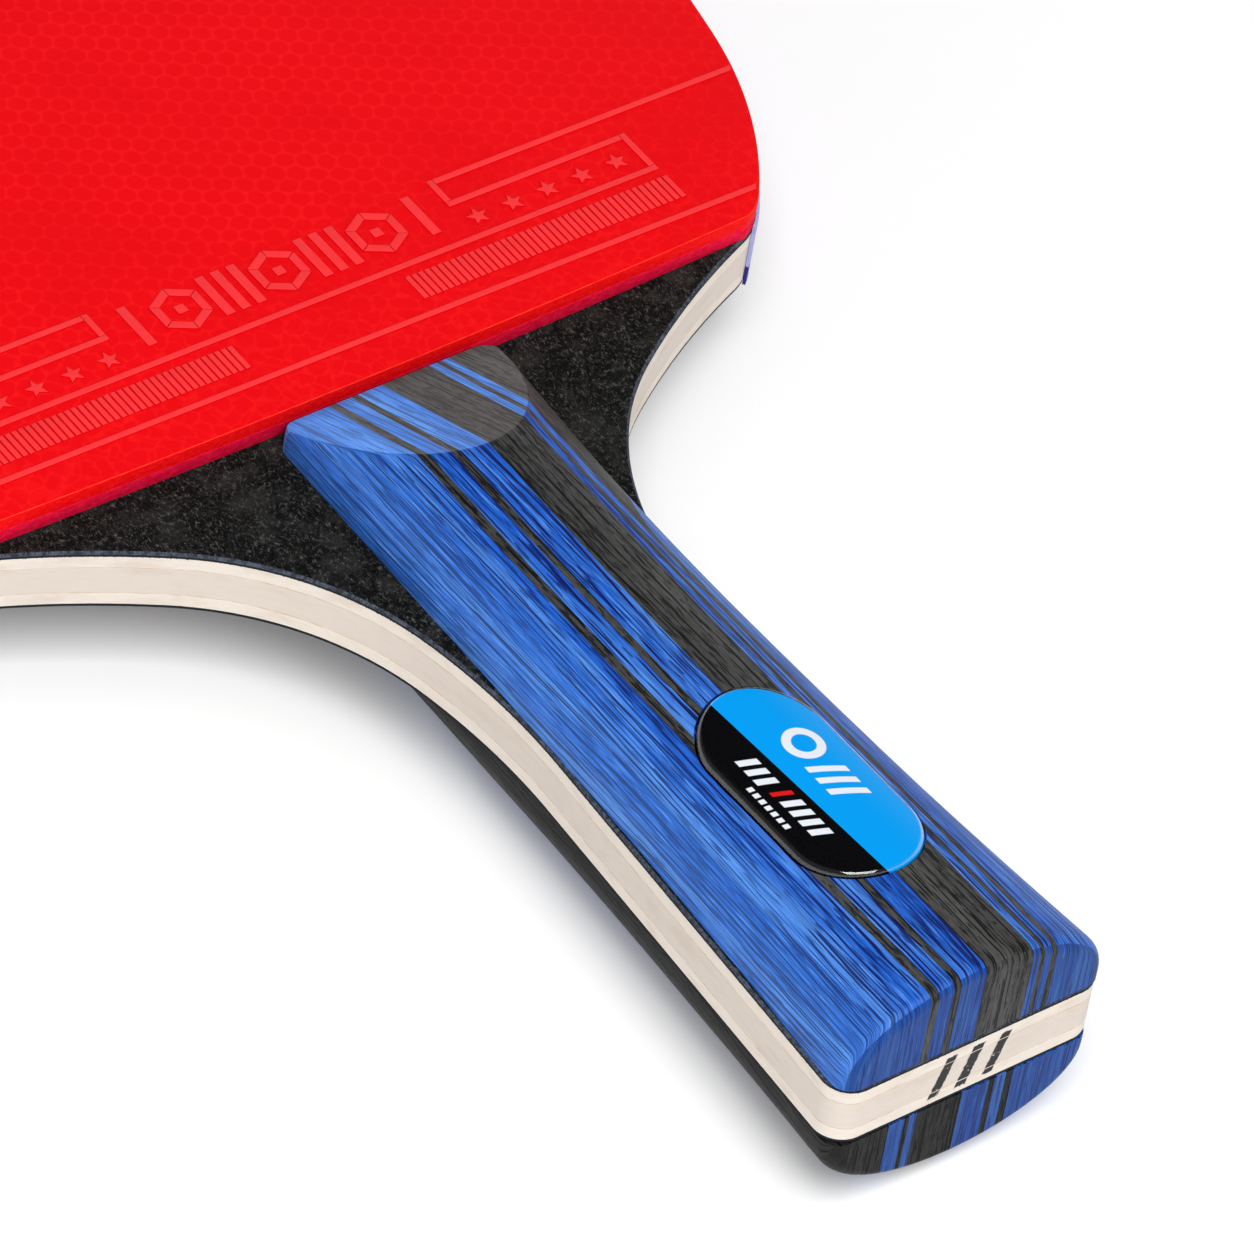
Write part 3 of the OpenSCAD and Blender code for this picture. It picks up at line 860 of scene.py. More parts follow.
def bevel_height(f, y):
    """Height of the flat cut at the head end."""
    return f.bevel_foot + math.tan(f.bevel_slope) * (-y - f.scale_end_gap)


def lean(f, y):
    """How far the middle of a scale lies to the right of the blade's, at y."""
    left, right = flanks(f, y)
    return (left + right) / 2


def crown_turn(f, y, x):
    """Where x lies on the crown at y, as a turn from 0 on the right to pi on the left."""
    left, right = flanks(f, y)
    middle, half = (left + right) / 2, (right - left) / 2
    return np.arccos(np.clip((np.clip(x, left, right) - middle) / half, -1, 1))


def crown_place(f, y, turn):
    """Place in plan and height of the crown at y and a turn."""
    rise = crown_rise(f, y + f.handle_length)
    left, right = flanks(f, y)
    x = (left + right) / 2 + (right - left) / 2 * np.cos(turn)
    return x, f.round_start + rise * np.sin(turn)


# Rows of points in a strip: round a corner, up to the ridge, over it, and down the flat cut.
CORNER_ROWS, BODY_ROWS, RIDGE_ROWS, CUT_ROWS = 14, 46, 9, 12
FARTHEST_RIDGE = -60.0  # the flat cut never reaches farther down the handle
RIDGE_HALF = 0.5  # rows lie closer together this far on both sides of the ridge
RIDGE_ROUND = 0.16  # how softly the crown and the flat cut meet
CUT_LEAST = 0.8  # least length of the flat cut before the corners of its end


def butt_rows(f):
    """The rows of a scale's points along its corner at the butt."""
    turn = np.linspace(0, math.pi / 2, CORNER_ROWS)
    return f.scale_corner * (1 - np.cos(turn)) - f.handle_length


def ridge_y(f, over, columns):
    """Where each column of a strip meets the flat cut, found by halving."""
    low, high = np.full(columns, FARTHEST_RIDGE), np.full(columns, -f.scale_end_gap)
    for _ in range(40):
        middle = (low + high) / 2
        above = over(middle)[1] > bevel_height(f, middle)
        high = np.where(above, middle, high)
        low = np.where(above, low, middle)
    last = -f.scale_end_gap - f.scale_end_corner - CUT_LEAST
    return np.clip((low + high) / 2, FARTHEST_RIDGE, last)


def scale_strip(f, left_at, right_at, columns):
    """One strip of a scale between two lines in plan, as a closed solid."""
    share = np.linspace(0, 1, columns)

    def over(y):
        first, last = crown_turn(f, y, right_at(y)), crown_turn(f, y, left_at(y))
        return crown_place(f, y, first + (last - first) * share)

    ridge = ridge_y(f, over, columns)
    rows = [np.full(columns, y) for y in butt_rows(f)]
    start, end = rows[-1], -f.scale_end_gap - f.scale_end_corner
    for low, high, count in (
        (start, ridge - RIDGE_HALF, BODY_ROWS),
        (ridge - RIDGE_HALF, ridge + RIDGE_HALF, RIDGE_ROWS),
        (ridge + RIDGE_HALF, end, CUT_ROWS),
    ):
        rows += [low + (high - low) * k for k in np.linspace(0, 1, count)[1:]]
    for turn in np.linspace(0, math.pi / 2, CORNER_ROWS)[1:]:
        rows.append(np.full(columns, end + f.scale_end_corner * math.sin(turn)))
    top, base = [], []
    for y in rows:
        x, z = over(y)
        cut = bevel_height(f, y)
        near = np.maximum(RIDGE_ROUND - np.abs(z - cut), 0)
        z = np.minimum(z, cut) - np.square(near) / (4 * RIDGE_ROUND)
        top.append(np.column_stack([x, y, z]))
        base.append(np.column_stack([x, y, np.full(columns, f.blade_top)]))
    return skin(top, base)


END_LEDGE = 0.3  # how far the extra row of points at an end of a strip lies below its top


def skin(top, base):
    """A closed solid between a top and a base grid of points."""
    lower = [0, 0, END_LEDGE]
    top = [top[0] - lower, *top, top[-1] - lower]
    base = [base[0], *base, base[-1]]
    count, columns = len(top), len(top[0])
    points = np.concatenate(top + base[1:-1])
    at = np.arange(count * columns).reshape(count, columns)
    under = np.arange((count - 2) * columns).reshape(count - 2, columns) + count * columns
    under = np.concatenate([under[:1], under, under[-1:]])
    faces = []
    for i in range(count - 1):
        for j in range(columns - 1):
            faces.append([at[i, j], at[i + 1, j], at[i + 1, j + 1], at[i, j + 1]])
            if 0 < i < count - 2:
                faces.append([under[i, j], under[i, j + 1], under[i + 1, j + 1], under[i + 1, j]])
        for j, flip in ((0, 1), (columns - 1, -1)):
            side = [at[i, j], under[i, j], under[i + 1, j], at[i + 1, j]]
            if under[i, j] == under[i + 1, j]:
                side = [at[i, j], under[i, j], at[i + 1, j]]
            faces.append(side[::flip])
    for j in range(columns - 1):
        faces.append([at[0, j], at[0, j + 1], under[0, j + 1], under[0, j]])
        faces.append([at[-1, j], under[-1, j], under[-1, j + 1], at[-1, j + 1]])
    return points, faces


def line_at(f, x):
    """A strip's edge, which follows the lean of the scale."""
    return lambda y: x + lean(f, y)


# Lines between the strips, from left to right, about the middle of the scale.
FRONT_EDGES = (-6.8, -5.9, -4.1, -3.3, -0.3, 5.5, 6.4, 7.0, 7.9, 8.6)
BACK_EDGES = (-9.0, -7.1, -6.5, -5.6, -0.1, 3.2, 3.9, 5.3, 6.2)
OUTSIDE = 30.0  # a line well outside a scale
SCALE_HALF = 14.0  # about half the width of a scale
FEATHER = (-34.0, -20.0)  # where the last line of the front scale runs out to the side
FEATHER_PAST = 1.0  # how far past the waist's side that line gets
FEATHER_LIMIT = 1.4  # share of its run after which it keeps its distance
FEATHER_STEP, FEATHER_LEAST = 0.05, 0.02  # step in search of the tip, and its least width
FEATHER_COLUMNS = (20, 18)  # of the strips on the left and on the right of that line
FEATHER_ROWS = (44, 14)  # of the strip on its right, before that stretch and along it
POCKET_CUTTER_TOP = 20.0  # anywhere above the crown


def feather_at(f, y):
    """The last line of the front scale, which runs out to the side before the shoulder."""
    share = (np.asarray(y, float) - FEATHER[0]) / (FEATHER[1] - FEATHER[0])
    reach = f.scale_waist / 2 + FEATHER_PAST - FRONT_EDGES[-1]
    return FRONT_EDGES[-1] + lean(f, y) + np.clip(share, 0, FEATHER_LIMIT) * reach


def feathered_strip(f):
    """The outer blue strip of the front scale, which ends in a long feather."""
    columns = FEATHER_COLUMNS[1]
    share = np.linspace(0, 1, columns)
    rows = list(butt_rows(f))
    rows += list(np.linspace(rows[-1], FEATHER[0], FEATHER_ROWS[0])[1:])
    last = FEATHER[0]
    while feather_at(f, last) < flanks(f, last)[1] - FEATHER_LEAST:
        last += FEATHER_STEP
    rows += list(np.linspace(FEATHER[0], last, FEATHER_ROWS[1])[1:])
    top, base = [], []
    for y in rows:
        x, z = crown_place(f, y, crown_turn(f, y, feather_at(f, y)) * share)
        top.append(np.column_stack([x, np.full(columns, y), z]))
        base.append(np.column_stack([x, np.full(columns, y), np.full(columns, f.blade_top)]))
    return skin(top, base)


def plain_strips(f, lines):
    """The strips between neighbouring lines, from left to right."""
    for left, right in zip(lines, lines[1:]):
        width = min(right, SCALE_HALF) - max(left, -SCALE_HALF)
        columns = int(min(40, max(5, width * 4)))
        yield scale_strip(f, line_at(f, left), line_at(f, right), columns)


def cut_pocket(f, piece):
    """Sink the label's pocket into a strip."""
    loop = pill_loop(f.lens_width + 2 * f.lens_gap, f.lens_length + 2 * f.lens_gap, 48)
    loop = loop + [-f.lens_shift, -f.lens_distance]
    points, faces = stack([ring_at(loop, f.pocket_floor), ring_at(loop, POCKET_CUTTER_TOP)])
    cutter = bpy.data.objects.new("pocket", mesh_of("pocket", points, faces))
    bpy.context.scene.collection.objects.link(cutter)
    cut = piece.modifiers.new("pocket", "BOOLEAN")
    cut.operation = "DIFFERENCE"
    cut.solver = "EXACT"
    cut.object = cutter
    bpy.context.view_layer.update()
    sunk = piece.evaluated_get(bpy.context.evaluated_depsgraph_get())
    solid = bpy.data.meshes.new_from_object(sunk)
    piece.modifiers.clear()
    piece.data = solid
    bpy.data.objects.remove(cutter)
    solid.set_sharp_from_angle(angle=math.radians(35))


class PADDLE_OT_front_scale(bpy.types.Operator):
    """Make the front scale from its eleven strips, with the label's pocket"""

    bl_idname = "paddle.front_scale"
    bl_label = "Front scale"

    def execute(self, context):
        f = lengths()
        c = context.scene.paddle_colours
        blue = dyed_veneer("Blue veneer", c.blue, c.blue_deep, c.blue_light)
        grey = dyed_veneer(
            "Charcoal veneer",
            c.charcoal,
            c.charcoal_deep,
            c.charcoal_light,
            seed=60,
            end_tone=0.85,
            gloss=0.12,
            chop=1.0,
        )
        strips = list(plain_strips(f, [-OUTSIDE, *FRONT_EDGES[:-1]]))
        pocketed = len(strips)
        last, feather = line_at(f, FRONT_EDGES[-2]), lambda y: feather_at(f, y)
        strips.append(scale_strip(f, last, feather, FEATHER_COLUMNS[0]))
        strips.append(feathered_strip(f))
        for k, (points, faces) in enumerate(strips):
            node = f"front_scale_strip_{k + 1:02d}"
            finish, slot = (grey, "strip_dark") if k % 2 else (blue, "strip_blue")
            piece = show(node + "_fine", points, faces, finish, [node], slot, sharp=28)
            if k < pocketed:
                cut_pocket(f, piece)
        return {"FINISHED"}


BACK_SLACK = 1.2  # how much lower the back scale's crown is at the butt than the front one's
SLACK_START, SLACK_RUN = -70.0, 30.0  # where its crown starts to fall, and over what length


class PADDLE_OT_back_scale(bpy.types.Operator):
    """Make the back scale from its ten strips"""

    bl_idname = "paddle.back_scale"
    bl_label = "Back scale"

    def execute(self, context):
        f = lengths()
        c = context.scene.paddle_colours
        blue = dyed_veneer("Blue veneer back", c.blue, c.blue_deep, c.blue_light, seed=130)
        # Painted shade: the back charcoal is a shaded copy of the front's, at 0.4 of its colour,
        # with less gloss.
        grey = dyed_veneer(
            "Charcoal veneer back",
            tinted(c.charcoal, 0.4),
            c.charcoal_deep,
            tinted(c.charcoal, 0.8),
            seed=90,
            end_tone=0.9,
            gloss=0.06,
            chop=1.0,
        )
        strips = plain_strips(f, [-OUTSIDE, *BACK_EDGES, OUTSIDE])
        for k, (points, faces) in enumerate(strips):
            near_butt = np.clip((SLACK_START - points[:, 1]) / SLACK_RUN, 0, 1) ** 1.5
            rise = np.clip(points[:, 2] - f.round_start, 0, None)
            points[:, 2] -= BACK_SLACK * near_butt * rise / (f.crown_height - f.round_start)
            points, faces = upside_down(points, faces)
            node = f"back_scale_strip_{k + 1:02d}"
            finish, slot = (blue, "strip_blue") if k % 2 else (grey, "strip_dark")
            show(node + "_fine", points, faces, finish, [node], slot, sharp=28)
        return {"FINISHED"}


# ---------------------------------------------------------------- rubbers


def bar(x0, y0, x1, y1):
    """A rectangle as a loop."""
    return np.array([(x0, y0), (x1, y0), (x1, y1), (x0, y1)], float)


def star_loop(x, y, radius):
    """A five-pointed star."""
    turn = np.radians(36 * np.arange(10))
    reach = np.where(np.arange(10) % 2, radius * 0.42, radius)
    return np.column_stack([x - reach * np.sin(turn), y + reach * np.cos(turn)])


def shrunk(loop, inset):
    """A small anticlockwise loop moved inwards by inset."""
    before = loop - np.roll(loop, 1, axis=0)
    after = np.roll(loop, -1, axis=0) - loop
    before /= np.linalg.norm(before, axis=1)[:, None]
    after /= np.linalg.norm(after, axis=1)[:, None]
    n1 = np.column_stack([-before[:, 1], before[:, 0]])
    n2 = np.column_stack([-after[:, 1], after[:, 0]])
    middle = n1 + n2
    middle /= np.maximum(0.35, np.sum(middle * n1, axis=1))[:, None]
    return loop + middle * inset


def raised(loop, low, height, soft=0.12):
    """A raised figure with softened top edges."""
    profile = ((0.0, 0.0), (0.0, 0.45), (0.45, 0.85), (1.0, 1.0))
    return stack(
        [ring_at(shrunk(loop, soft * inset), low + height * share) for inset, share in profile]
    )


def relief_figures(f):
    """Lines, stars and hatch bars of the raised pattern, as loops in the pattern's own frame."""
    w = f.relief_line
    side = 70.0
    line_one, line_two, line_three = 4.2, 11.2, 20.0
    low, inner, outer = 17.3, 20.8, 43.3
    star_x, star_y, star_pitch, star_radius = 22.6, 14.1, 4.35, 1.35
    hatch_x, hatch_pitch, hatch_gap, hatch_low, hatch_high = 10.6, 0.785, 0.17, 6.6, 10.1
    loops = [
        bar(-side, line_one, side, line_one + w),
        bar(-outer, line_two, outer, line_two + w),
    ]
    half = [
        bar(outer - w, line_two + w, outer, low),
        bar(inner, low - w, outer - w, low),
        bar(inner, low, inner + w, line_three + w),
        bar(inner + w, line_three, side, line_three + w),
    ]
    half += [star_loop(star_x + star_pitch * k, star_y, star_radius) for k in range(5)]
    for k in range(42):
        start = hatch_x + hatch_pitch * k
        half.append(bar(start, hatch_low, start + hatch_pitch - hatch_gap, hatch_high))
    return loops + half + [(loop * [-1, 1])[::-1] for loop in half]


def hexagon_ring(x, y, radius, width):
    """Six bars in a ring."""
    turn = np.radians(np.arange(6) * 60 + 30)
    outer = np.column_stack([np.cos(turn), np.sin(turn)]) * radius
    inner = outer * (1 - width / radius)
    return [
        np.array([outer[k], outer[k - 5], inner[k - 5], inner[k]]) + [x, y] for k in range(6)
    ]


def middle_figures():
    """A plain ornament of hexagons and upright bars in the middle of the pattern."""
    middle, half_high, half_wide, pitch = 16.9, 3.0, 0.55, 1.9
    loops = []
    for x in (-12.0, 0.0, 12.0):
        loops += hexagon_ring(x, middle, 3.3, 1.15)
        loops.append(bar(x - 0.6, middle - 0.6, x + 0.6, middle + 0.6))
    for x in (-17.4, -6 - pitch, -6, -6 + pitch, 6 - pitch, 6, 6 + pitch, 17.4):
        loops.append(bar(x - half_wide, middle - half_high, x + half_wide, middle + half_high))
    return loops


BACK_SHORT = 3.2  # how much farther from the handle the back rubbers end than the front ones
PATTERN_TURN, PATTERN_SHIFT = -0.5, 1.2  # of the raised pattern, in degrees and mm
PATTERN_MARGIN = 0.35  # least distance of a raised line from the sheet's edge
PATTERN_SIDE = (2.5, 70.0)  # stretch of the sheet's side that a raised line can meet
SUNK = 0.02  # how deep a raised figure starts below the sheet


class PADDLE_OT_rubbers(bpy.types.Operator):
    """Make both sponges and both sheets, with the raised pattern on the front one"""

    bl_idname = "paddle.rubbers"
    bl_label = "Rubbers"

    def execute(self, context):
        f = lengths()
        c = context.scene.paddle_colours
        red = rubber_sheet("Red sheet", c.red, c.red_net, c.red_lip_highlight, c.red_cut, 0.04)
        dark = c.back_sheet
        # The black sheet gets a painted highlight on its upper edge, twice as pale as the sheet.
        black = rubber_sheet(
            "Black sheet", dark, tinted(dark, 1.6), tinted(dark, 2.0), tinted(dark, 0.9), 0.25
        )
        sponge = cell_sponge("Sponge", c.sponge)
        sponge_rim = [
            (0.03, f.blade_top),
            (0.0, f.blade_top + 0.05),
            (0.0, f.sponge_top - 0.05),
            (0.04, f.sponge_top),
        ]
        sheet_rim = [
            (0.04, f.sponge_top),
            (0.0, f.sponge_top + 0.05),
            (0.0, f.sheet_top - 0.16),
            (0.03, f.sheet_top - 0.07),
            (0.09, f.sheet_top - 0.015),
            (0.16, f.sheet_top),
        ]
        self.layer(f, "front_sponge", sponge_rim, sponge, "front_sponge")
        self.layer(f, "front_sheet", sheet_rim, red, "red_sheet")
        self.layer(f, "back_sponge", sponge_rim, sponge, "back_sponge", back=True)
        self.layer(f, "back_sheet", sheet_rim, black, "black_sheet", back=True)
        self.pattern(f)
        return {"FINISHED"}

    def layer(self, f, node, rim, finish, slot, back=False):
        """A sponge or a sheet."""
        short = BACK_SHORT if back else 0.0
        points, faces = layered(lambda inset: rubber_loop(f, inset, short), rim)
        if back:
            points, faces = upside_down(points, faces)
        show(node + "_fine", points, faces, finish, [node], slot, sharp=32)

    def pattern(self, f):
        """The raised pattern, turned a little against the rubber edge."""
        turn = math.radians(PATTERN_TURN)
        spin = np.array([[math.cos(turn), math.sin(turn)], [-math.sin(turn), math.cos(turn)]])
        edge = rubber_loop(f, PATTERN_MARGIN)
        parts = []
        for loop in relief_figures(f) + middle_figures():
            loop = self.trimmed(loop @ spin + [PATTERN_SHIFT, 0], edge)
            parts.append(raised(loop, f.sheet_top - SUNK, f.relief_height + SUNK))
        points, faces = merged(parts)
        finish = raised_rubber("Raised rubber")
        show("front_relief", points, faces, finish, (), "red_sheet", sharp=40)

    def trimmed(self, loop, edge):
        """Pull the corners of a long line back inside the rubber's outline."""
        low, high = PATTERN_SIDE
        right = edge[(edge[:, 1] > low) & (edge[:, 1] < high) & (edge[:, 0] > 0)]
        order = np.argsort(right[:, 1])
        limit = np.interp(loop[:, 1], right[order, 1], right[order, 0])
        return np.column_stack([np.clip(loop[:, 0], -limit, limit), loop[:, 1]])


# ---------------------------------------------------------------- edge tape


TAPE_START = 1.2  # where the tape starts, past the rubber edge
TAPE_SOFT = 0.06  # softened corners of the tape


class PADDLE_OT_edge_tape(bpy.types.Operator):
    """Make the tape round the rim of the head"""

    bl_idname = "paddle.edge_tape"
    bl_label = "Edge tape"

    def execute(self, context):
        f = lengths()
        reach = f.blade_top + f.tape_overlap
        inner = blade_loop(f, f.tape_glue)
        outer = blade_loop(f, f.tape_glue + f.tape_thickness)
        kept = inner[:, 1] > TAPE_START
        rings = []
        for a, b in zip(inner[kept], outer[kept]):
            near = b + (a - b) * TAPE_SOFT / f.tape_thickness
            upper = [(*a, reach), (*near, reach), (*b, reach - TAPE_SOFT)]
            rings.append(np.array(upper + [(x, y, -z) for x, y, z in reversed(upper)]))
        points, faces = stack(rings)
        finish = edge_band("Edge tape")
        show("edge_tape_fine", points, faces, finish, ["edge_tape"], "edge_tape", sharp=50)
        return {"FINISHED"}


# ---------------------------------------------------------------- label


PRINT_DEPTH = 0.15  # depth of the print under the crown
HAIR_GAP = 0.01  # gap between the print and what is over and under it
LENS_RIM = 0.6  # radius of the lens' rounded rim
MARK_SOFT = 0.04  # half the softness of a mark's edge
SPLIT_X = -1.5  # where the line between the two inks crosses the middle of the label
SPLIT_TURN = 2.8  # turn of that line, in degrees


class PADDLE_OT_label(bpy.types.Operator):
    """Make the two-colour print and the clear lens over it"""

    bl_idname = "paddle.label"
    bl_label = "Label"

    def execute(self, context):
        f = lengths()
        c = context.scene.paddle_colours
        at = np.array([-f.lens_shift, -f.lens_distance])
        loop = pill_loop(f.lens_width, f.lens_length, 60)
        split = math.radians(SPLIT_TURN)
        away = np.array([math.cos(split), math.sin(split)])
        start = np.array([SPLIT_X, 0.0])
        for name, side, finish in (
            ("dark", -1, print_ink("Label black", c.label_black, self.dark_marks(c))),
            ("light", 1, print_ink("Label blue", c.label_blue, self.light_marks(c))),
        ):
            part = self.divided(self.clipped(loop, start, away * side)) + at
            middle = part.mean(axis=0)
            rings = [ring_at(part, f.pocket_floor + HAIR_GAP)]
            for share in np.linspace(1, 0.02, 14):
                ring = middle + (part - middle) * share
                rings.append(ring_at(ring, crown_at(f, *ring.T) - PRINT_DEPTH))
            points, faces = stack(rings)
            node = f"label_print_{name}"
            show(node + "_fine", points, faces, finish, [node], f"print_{name}")
        self.lens(f, at)
        return {"FINISHED"}

    def clipped(self, loop, start, away):
        """The part of a loop on one side of a line."""
        side = (loop - start) @ away
        out = []
        for k in range(len(loop)):
            j = (k + 1) % len(loop)
            if side[k] >= 0:
                out.append(loop[k])
            if side[k] * side[j] < 0:
                share = side[k] / (side[k] - side[j])
                out.append(loop[k] + (loop[j] - loop[k]) * share)
        return np.array(out)

    def divided(self, loop, step=0.6):
        """The same loop with points no farther apart than a step."""
        out = []
        for a, b in zip(loop, np.roll(loop, -1, axis=0)):
            count = max(1, int(np.linalg.norm(b - a) / step) + 1)
            out.append(a + (b - a) * np.linspace(0, 1, count, endpoint=False)[:, None])
        return np.concatenate(out)

    def lens(self, f, at):
        """The clear lens, which follows the crown and has a rounded rim."""
        rise, low = f.lens_top - f.crown_height, HAIR_GAP - PRINT_DEPTH
        rows = [(0.0, low), (0.0, rise - LENS_RIM)]
        for turn in np.linspace(0, math.pi / 2, 9)[1:]:
            inset = LENS_RIM * (1 - math.cos(turn))
            rows.append((inset, rise - LENS_RIM * (1 - math.sin(turn))))
        for inset in np.linspace(LENS_RIM + 0.35, f.lens_width / 2 - 0.05, 16):
            rows.append((inset, rise))
        rings = []
        for share in np.linspace(0.02, 1, 12)[:-1]:
            ring = pill_loop(f.lens_width, f.lens_length, 60) * share + at
            rings.append(ring_at(ring, crown_at(f, *ring.T) + low))
        for inset, lift in rows:
            ring = pill_loop(f.lens_width - 2 * inset, f.lens_length - 2 * inset, 60) + at
            rings.append(ring_at(ring, crown_at(f, *ring.T) + lift))
        points, faces = stack(rings)
        finish = clear_resin("Clear resin")
        show("label_lens_fine", points, faces, finish, ["label_lens"], "lens", sharp=60)

    def about(self, m, x, y):
        """Coordinates about a place on the label, in mm."""
        f = lengths()
        middle = placed(f, [[-f.lens_shift, -f.lens_distance, 0]])[0] / MM
        return m.vector("SUBTRACT", m.place, (middle[0] + x, middle[1] + y, 0.0))

    def inside(self, m, value, reach):
        """1 where a value is less than reach, with a soft edge."""
        return m.fade(m.gap(value), reach + MARK_SOFT, reach - MARK_SOFT)

    def ring(self, x, y, radius, width):
        """A ring, as a mask."""

        def mask(m):
            away = m.vector("LENGTH", m.vector("MULTIPLY", self.about(m, x, y), (1, 1, 0)))
            return self.inside(m, m.off(away, radius), width / 2)

        return mask

    def dash(self, x, y, half_x, half_y, slant):
        """A slanted bar, as a mask."""

        def mask(m):
            place = self.about(m, x, y)
            across, along = m.part(place, "X"), m.part(place, "Y")
            along = m.maths("ADD", along, m.times(across, slant))
            return m.times(self.inside(m, across, half_x), self.inside(m, along, half_y))

        return mask

    def light_marks(self, c):
        """A ring over three bars on the light half."""
        bars = [self.dash(2.6, 0.7 - 1.7 * k, 2.0, 0.42, 0.35) for k in range(3)]
        return [(mark, c.light_mark) for mark in (self.ring(2.7, 4.6, 1.75, 0.95), *bars)]

    def dark_marks(self, c):
        """A row of bars, one of them red, and a row of dots on the dark half."""
        bars = [self.dash(-3.6, 5.2 - 1.45 * k, 0.95, 0.42, 0.5) for k in range(3)]
        bars += [self.dash(-3.2, -1.4 - 1.45 * k, 0.95, 0.42, 0.5) for k in range(4)]
        dots = [self.dash(-5.35, 2.4 - 0.95 * k, 0.28, 0.3, 0.3) for k in range(7)]
        red = self.dash(-3.3, 0.2, 0.95, 0.3, 0.5)
        return [(mark, c.dark_mark) for mark in bars + dots] + [(red, c.red_mark)]


# ---------------------------------------------------------------- stage


# The floor, the softbox and the camera are in metres, as the whole stage is.
FLOOR_REACH = 3.0  # half the width of the floor
FLOOR_DROP = 0.0004  # how far the floor lies under the paddle
FLOOR_GLOW = 0.11  # light that the camera sees on the floor besides that of the studio
SOFTBOX_AT, SOFTBOX_WIDTH, SOFTBOX_POWER = (-0.27, -0.55, 0.93), 0.7, 11.3
CAMERA_AT = (-0.5883, -0.6723, 0.8214)
CAMERA_TURNS = (46.1586, -7.6696, -36.752)  # about X, Y and Z, in degrees
CAMERA_LENS = 344.5  # focal length in mm, on a sensor 36 mm wide


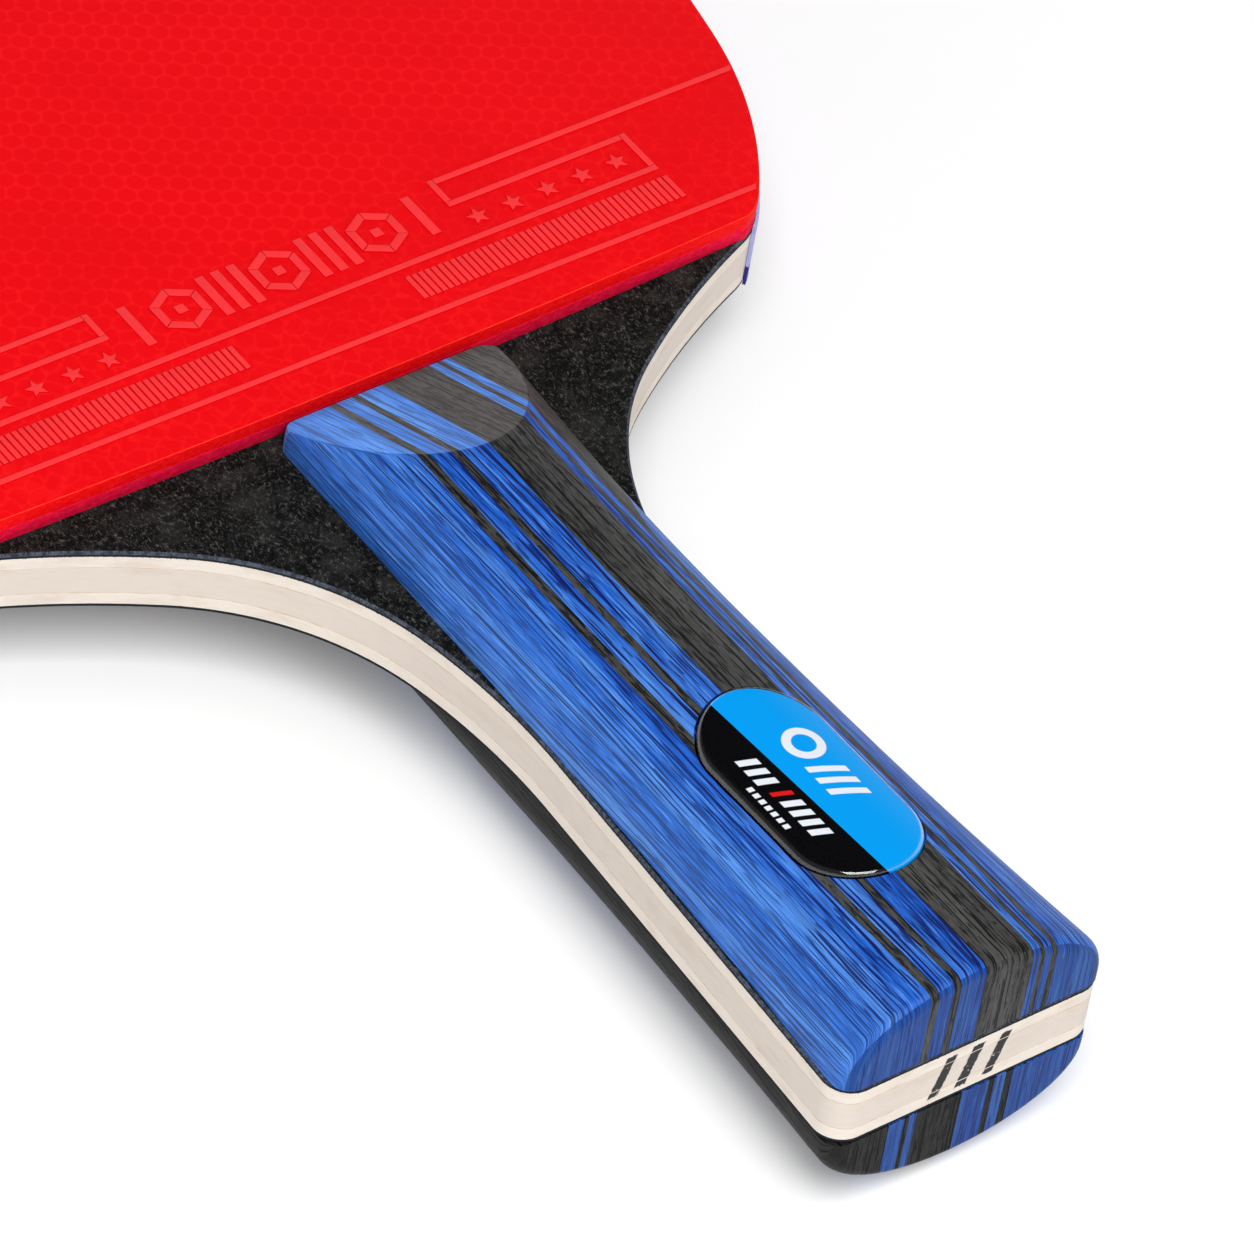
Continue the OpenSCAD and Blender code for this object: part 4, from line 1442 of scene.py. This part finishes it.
class PADDLE_OT_stage(bpy.types.Operator):
    """Make the floor, the lamp, the surroundings and the camera"""

    bl_idname = "paddle.stage"
    bl_label = "Stage"

    def execute(self, context):
        scene = context.scene
        scene.view_settings.view_transform = "Standard"
        self.floor(scene)
        self.surroundings(scene)
        self.lamp("Softbox", SOFTBOX_AT, SOFTBOX_WIDTH, SOFTBOX_POWER)
        self.camera(scene)
        return {"FINISHED"}

    def floor(self, scene):
        """A plain pale floor, a little brighter to the camera."""
        mesh = bpy.data.meshes.new("floor")
        corners = [(x * FLOOR_REACH, y * FLOOR_REACH, 0) for x, y in bar(-1, -1, 1, 1)]
        mesh.from_pydata(corners, [], [(0, 1, 2, 3)])
        floor = bpy.data.objects.new("floor", mesh)
        scene.collection.objects.link(floor)
        m = Finish("Floor")
        lit = m.node("BsdfDiffuse", {"Color": scene.paddle_colours.floor}).outputs[0]
        glow = m.node("Emission", {"Color": (1, 1, 1), "Strength": FLOOR_GLOW}).outputs[0]
        both = m.node("AddShader", {0: lit, 1: glow}).outputs[0]
        camera = m.node("LightPath").outputs["Is Camera Ray"]
        mesh.materials.append(m.closed(m.node("MixShader", {0: camera, 1: lit, 2: both})))
        floor.location.z = -FLOOR_DROP

    def surroundings(self, scene):
        """A studio that is bright low down and dim overhead, and white to the camera."""
        world = bpy.data.worlds.new("Studio")
        world.use_nodes = True
        m = Nodes(world.node_tree)
        up = m.part(m.node("TexCoord").outputs["Generated"], "Z")
        light = m.fade(up, 0.25, 0.6, 1.1, 0.18)
        soft = m.node("Background", {"Color": (1, 1, 1), "Strength": light}).outputs[0]
        seen = m.node("Background", {"Color": (1, 1, 1), "Strength": 1.0}).outputs[0]
        camera = m.node("LightPath").outputs["Is Camera Ray"]
        both = m.node("MixShader", {0: camera, 1: soft, 2: seen})
        m.node("OutputWorld", {"Surface": both.outputs[0]})
        scene.world = world

    def lamp(self, name, place, size, power):
        """A square lamp that points at the middle of the paddle."""
        data = bpy.data.lights.new(name, "AREA")
        data.shape = "SQUARE"
        data.size = size
        data.energy = power
        lamp = bpy.data.objects.new(name, data)
        lamp.location = place
        lamp.rotation_euler = (-Vector(place)).to_track_quat("-Z", "Y").to_euler()
        bpy.context.scene.collection.objects.link(lamp)

    def camera(self, scene):
        """The camera, far off with a long lens."""
        data = bpy.data.cameras.new("Camera")
        data.sensor_width = 36
        data.lens = CAMERA_LENS
        data.clip_start = 0.1
        data.clip_end = 20
        camera = bpy.data.objects.new("Camera", data)
        camera.location = CAMERA_AT
        camera.rotation_euler = Euler([math.radians(turn) for turn in CAMERA_TURNS], "XYZ")
        scene.collection.objects.link(camera)
        scene.camera = camera


# ---------------------------------------------------------------- add-on


class PADDLE_PT_panel(bpy.types.Panel):
    """Lists the paddle's operators, sizes and colours"""

    bl_idname = "PADDLE_PT_panel"
    bl_label = "Table tennis paddle"
    bl_space_type = "VIEW_3D"
    bl_region_type = "UI"
    bl_category = "Paddle"

    def draw(self, context):
        """The operators as buttons, then every size and colour."""
        column = self.layout.column()
        for operator in OPERATORS:
            column.operator(operator.bl_idname)
        for group in (context.scene.paddle_sizes, context.scene.paddle_colours):
            for name in type(group).__annotations__:
                column.prop(group, name)


OPERATORS = (
    PADDLE_OT_blade,
    PADDLE_OT_front_scale,
    PADDLE_OT_back_scale,
    PADDLE_OT_rubbers,
    PADDLE_OT_edge_tape,
    PADDLE_OT_label,
    PADDLE_OT_stage,
)
CLASSES = (PaddleSizes, PaddleColours, *OPERATORS, PADDLE_PT_panel)


def register():
    """Register the classes and hang the sizes and colours on the scene."""
    for each in CLASSES:
        bpy.utils.register_class(each)
    bpy.types.Scene.paddle_sizes = PointerProperty(type=PaddleSizes)
    bpy.types.Scene.paddle_colours = PointerProperty(type=PaddleColours)


def unregister():
    """Take away what register added."""
    del bpy.types.Scene.paddle_colours
    del bpy.types.Scene.paddle_sizes
    for each in reversed(CLASSES):
        bpy.utils.unregister_class(each)


def main():
    """Make the paddle and its stage."""
    register()
    for operator in OPERATORS:
        group, name = operator.bl_idname.split(".")
        getattr(getattr(bpy.ops, group), name)()
    bpy.context.view_layer.update()


if __name__ == "__main__":
    main()
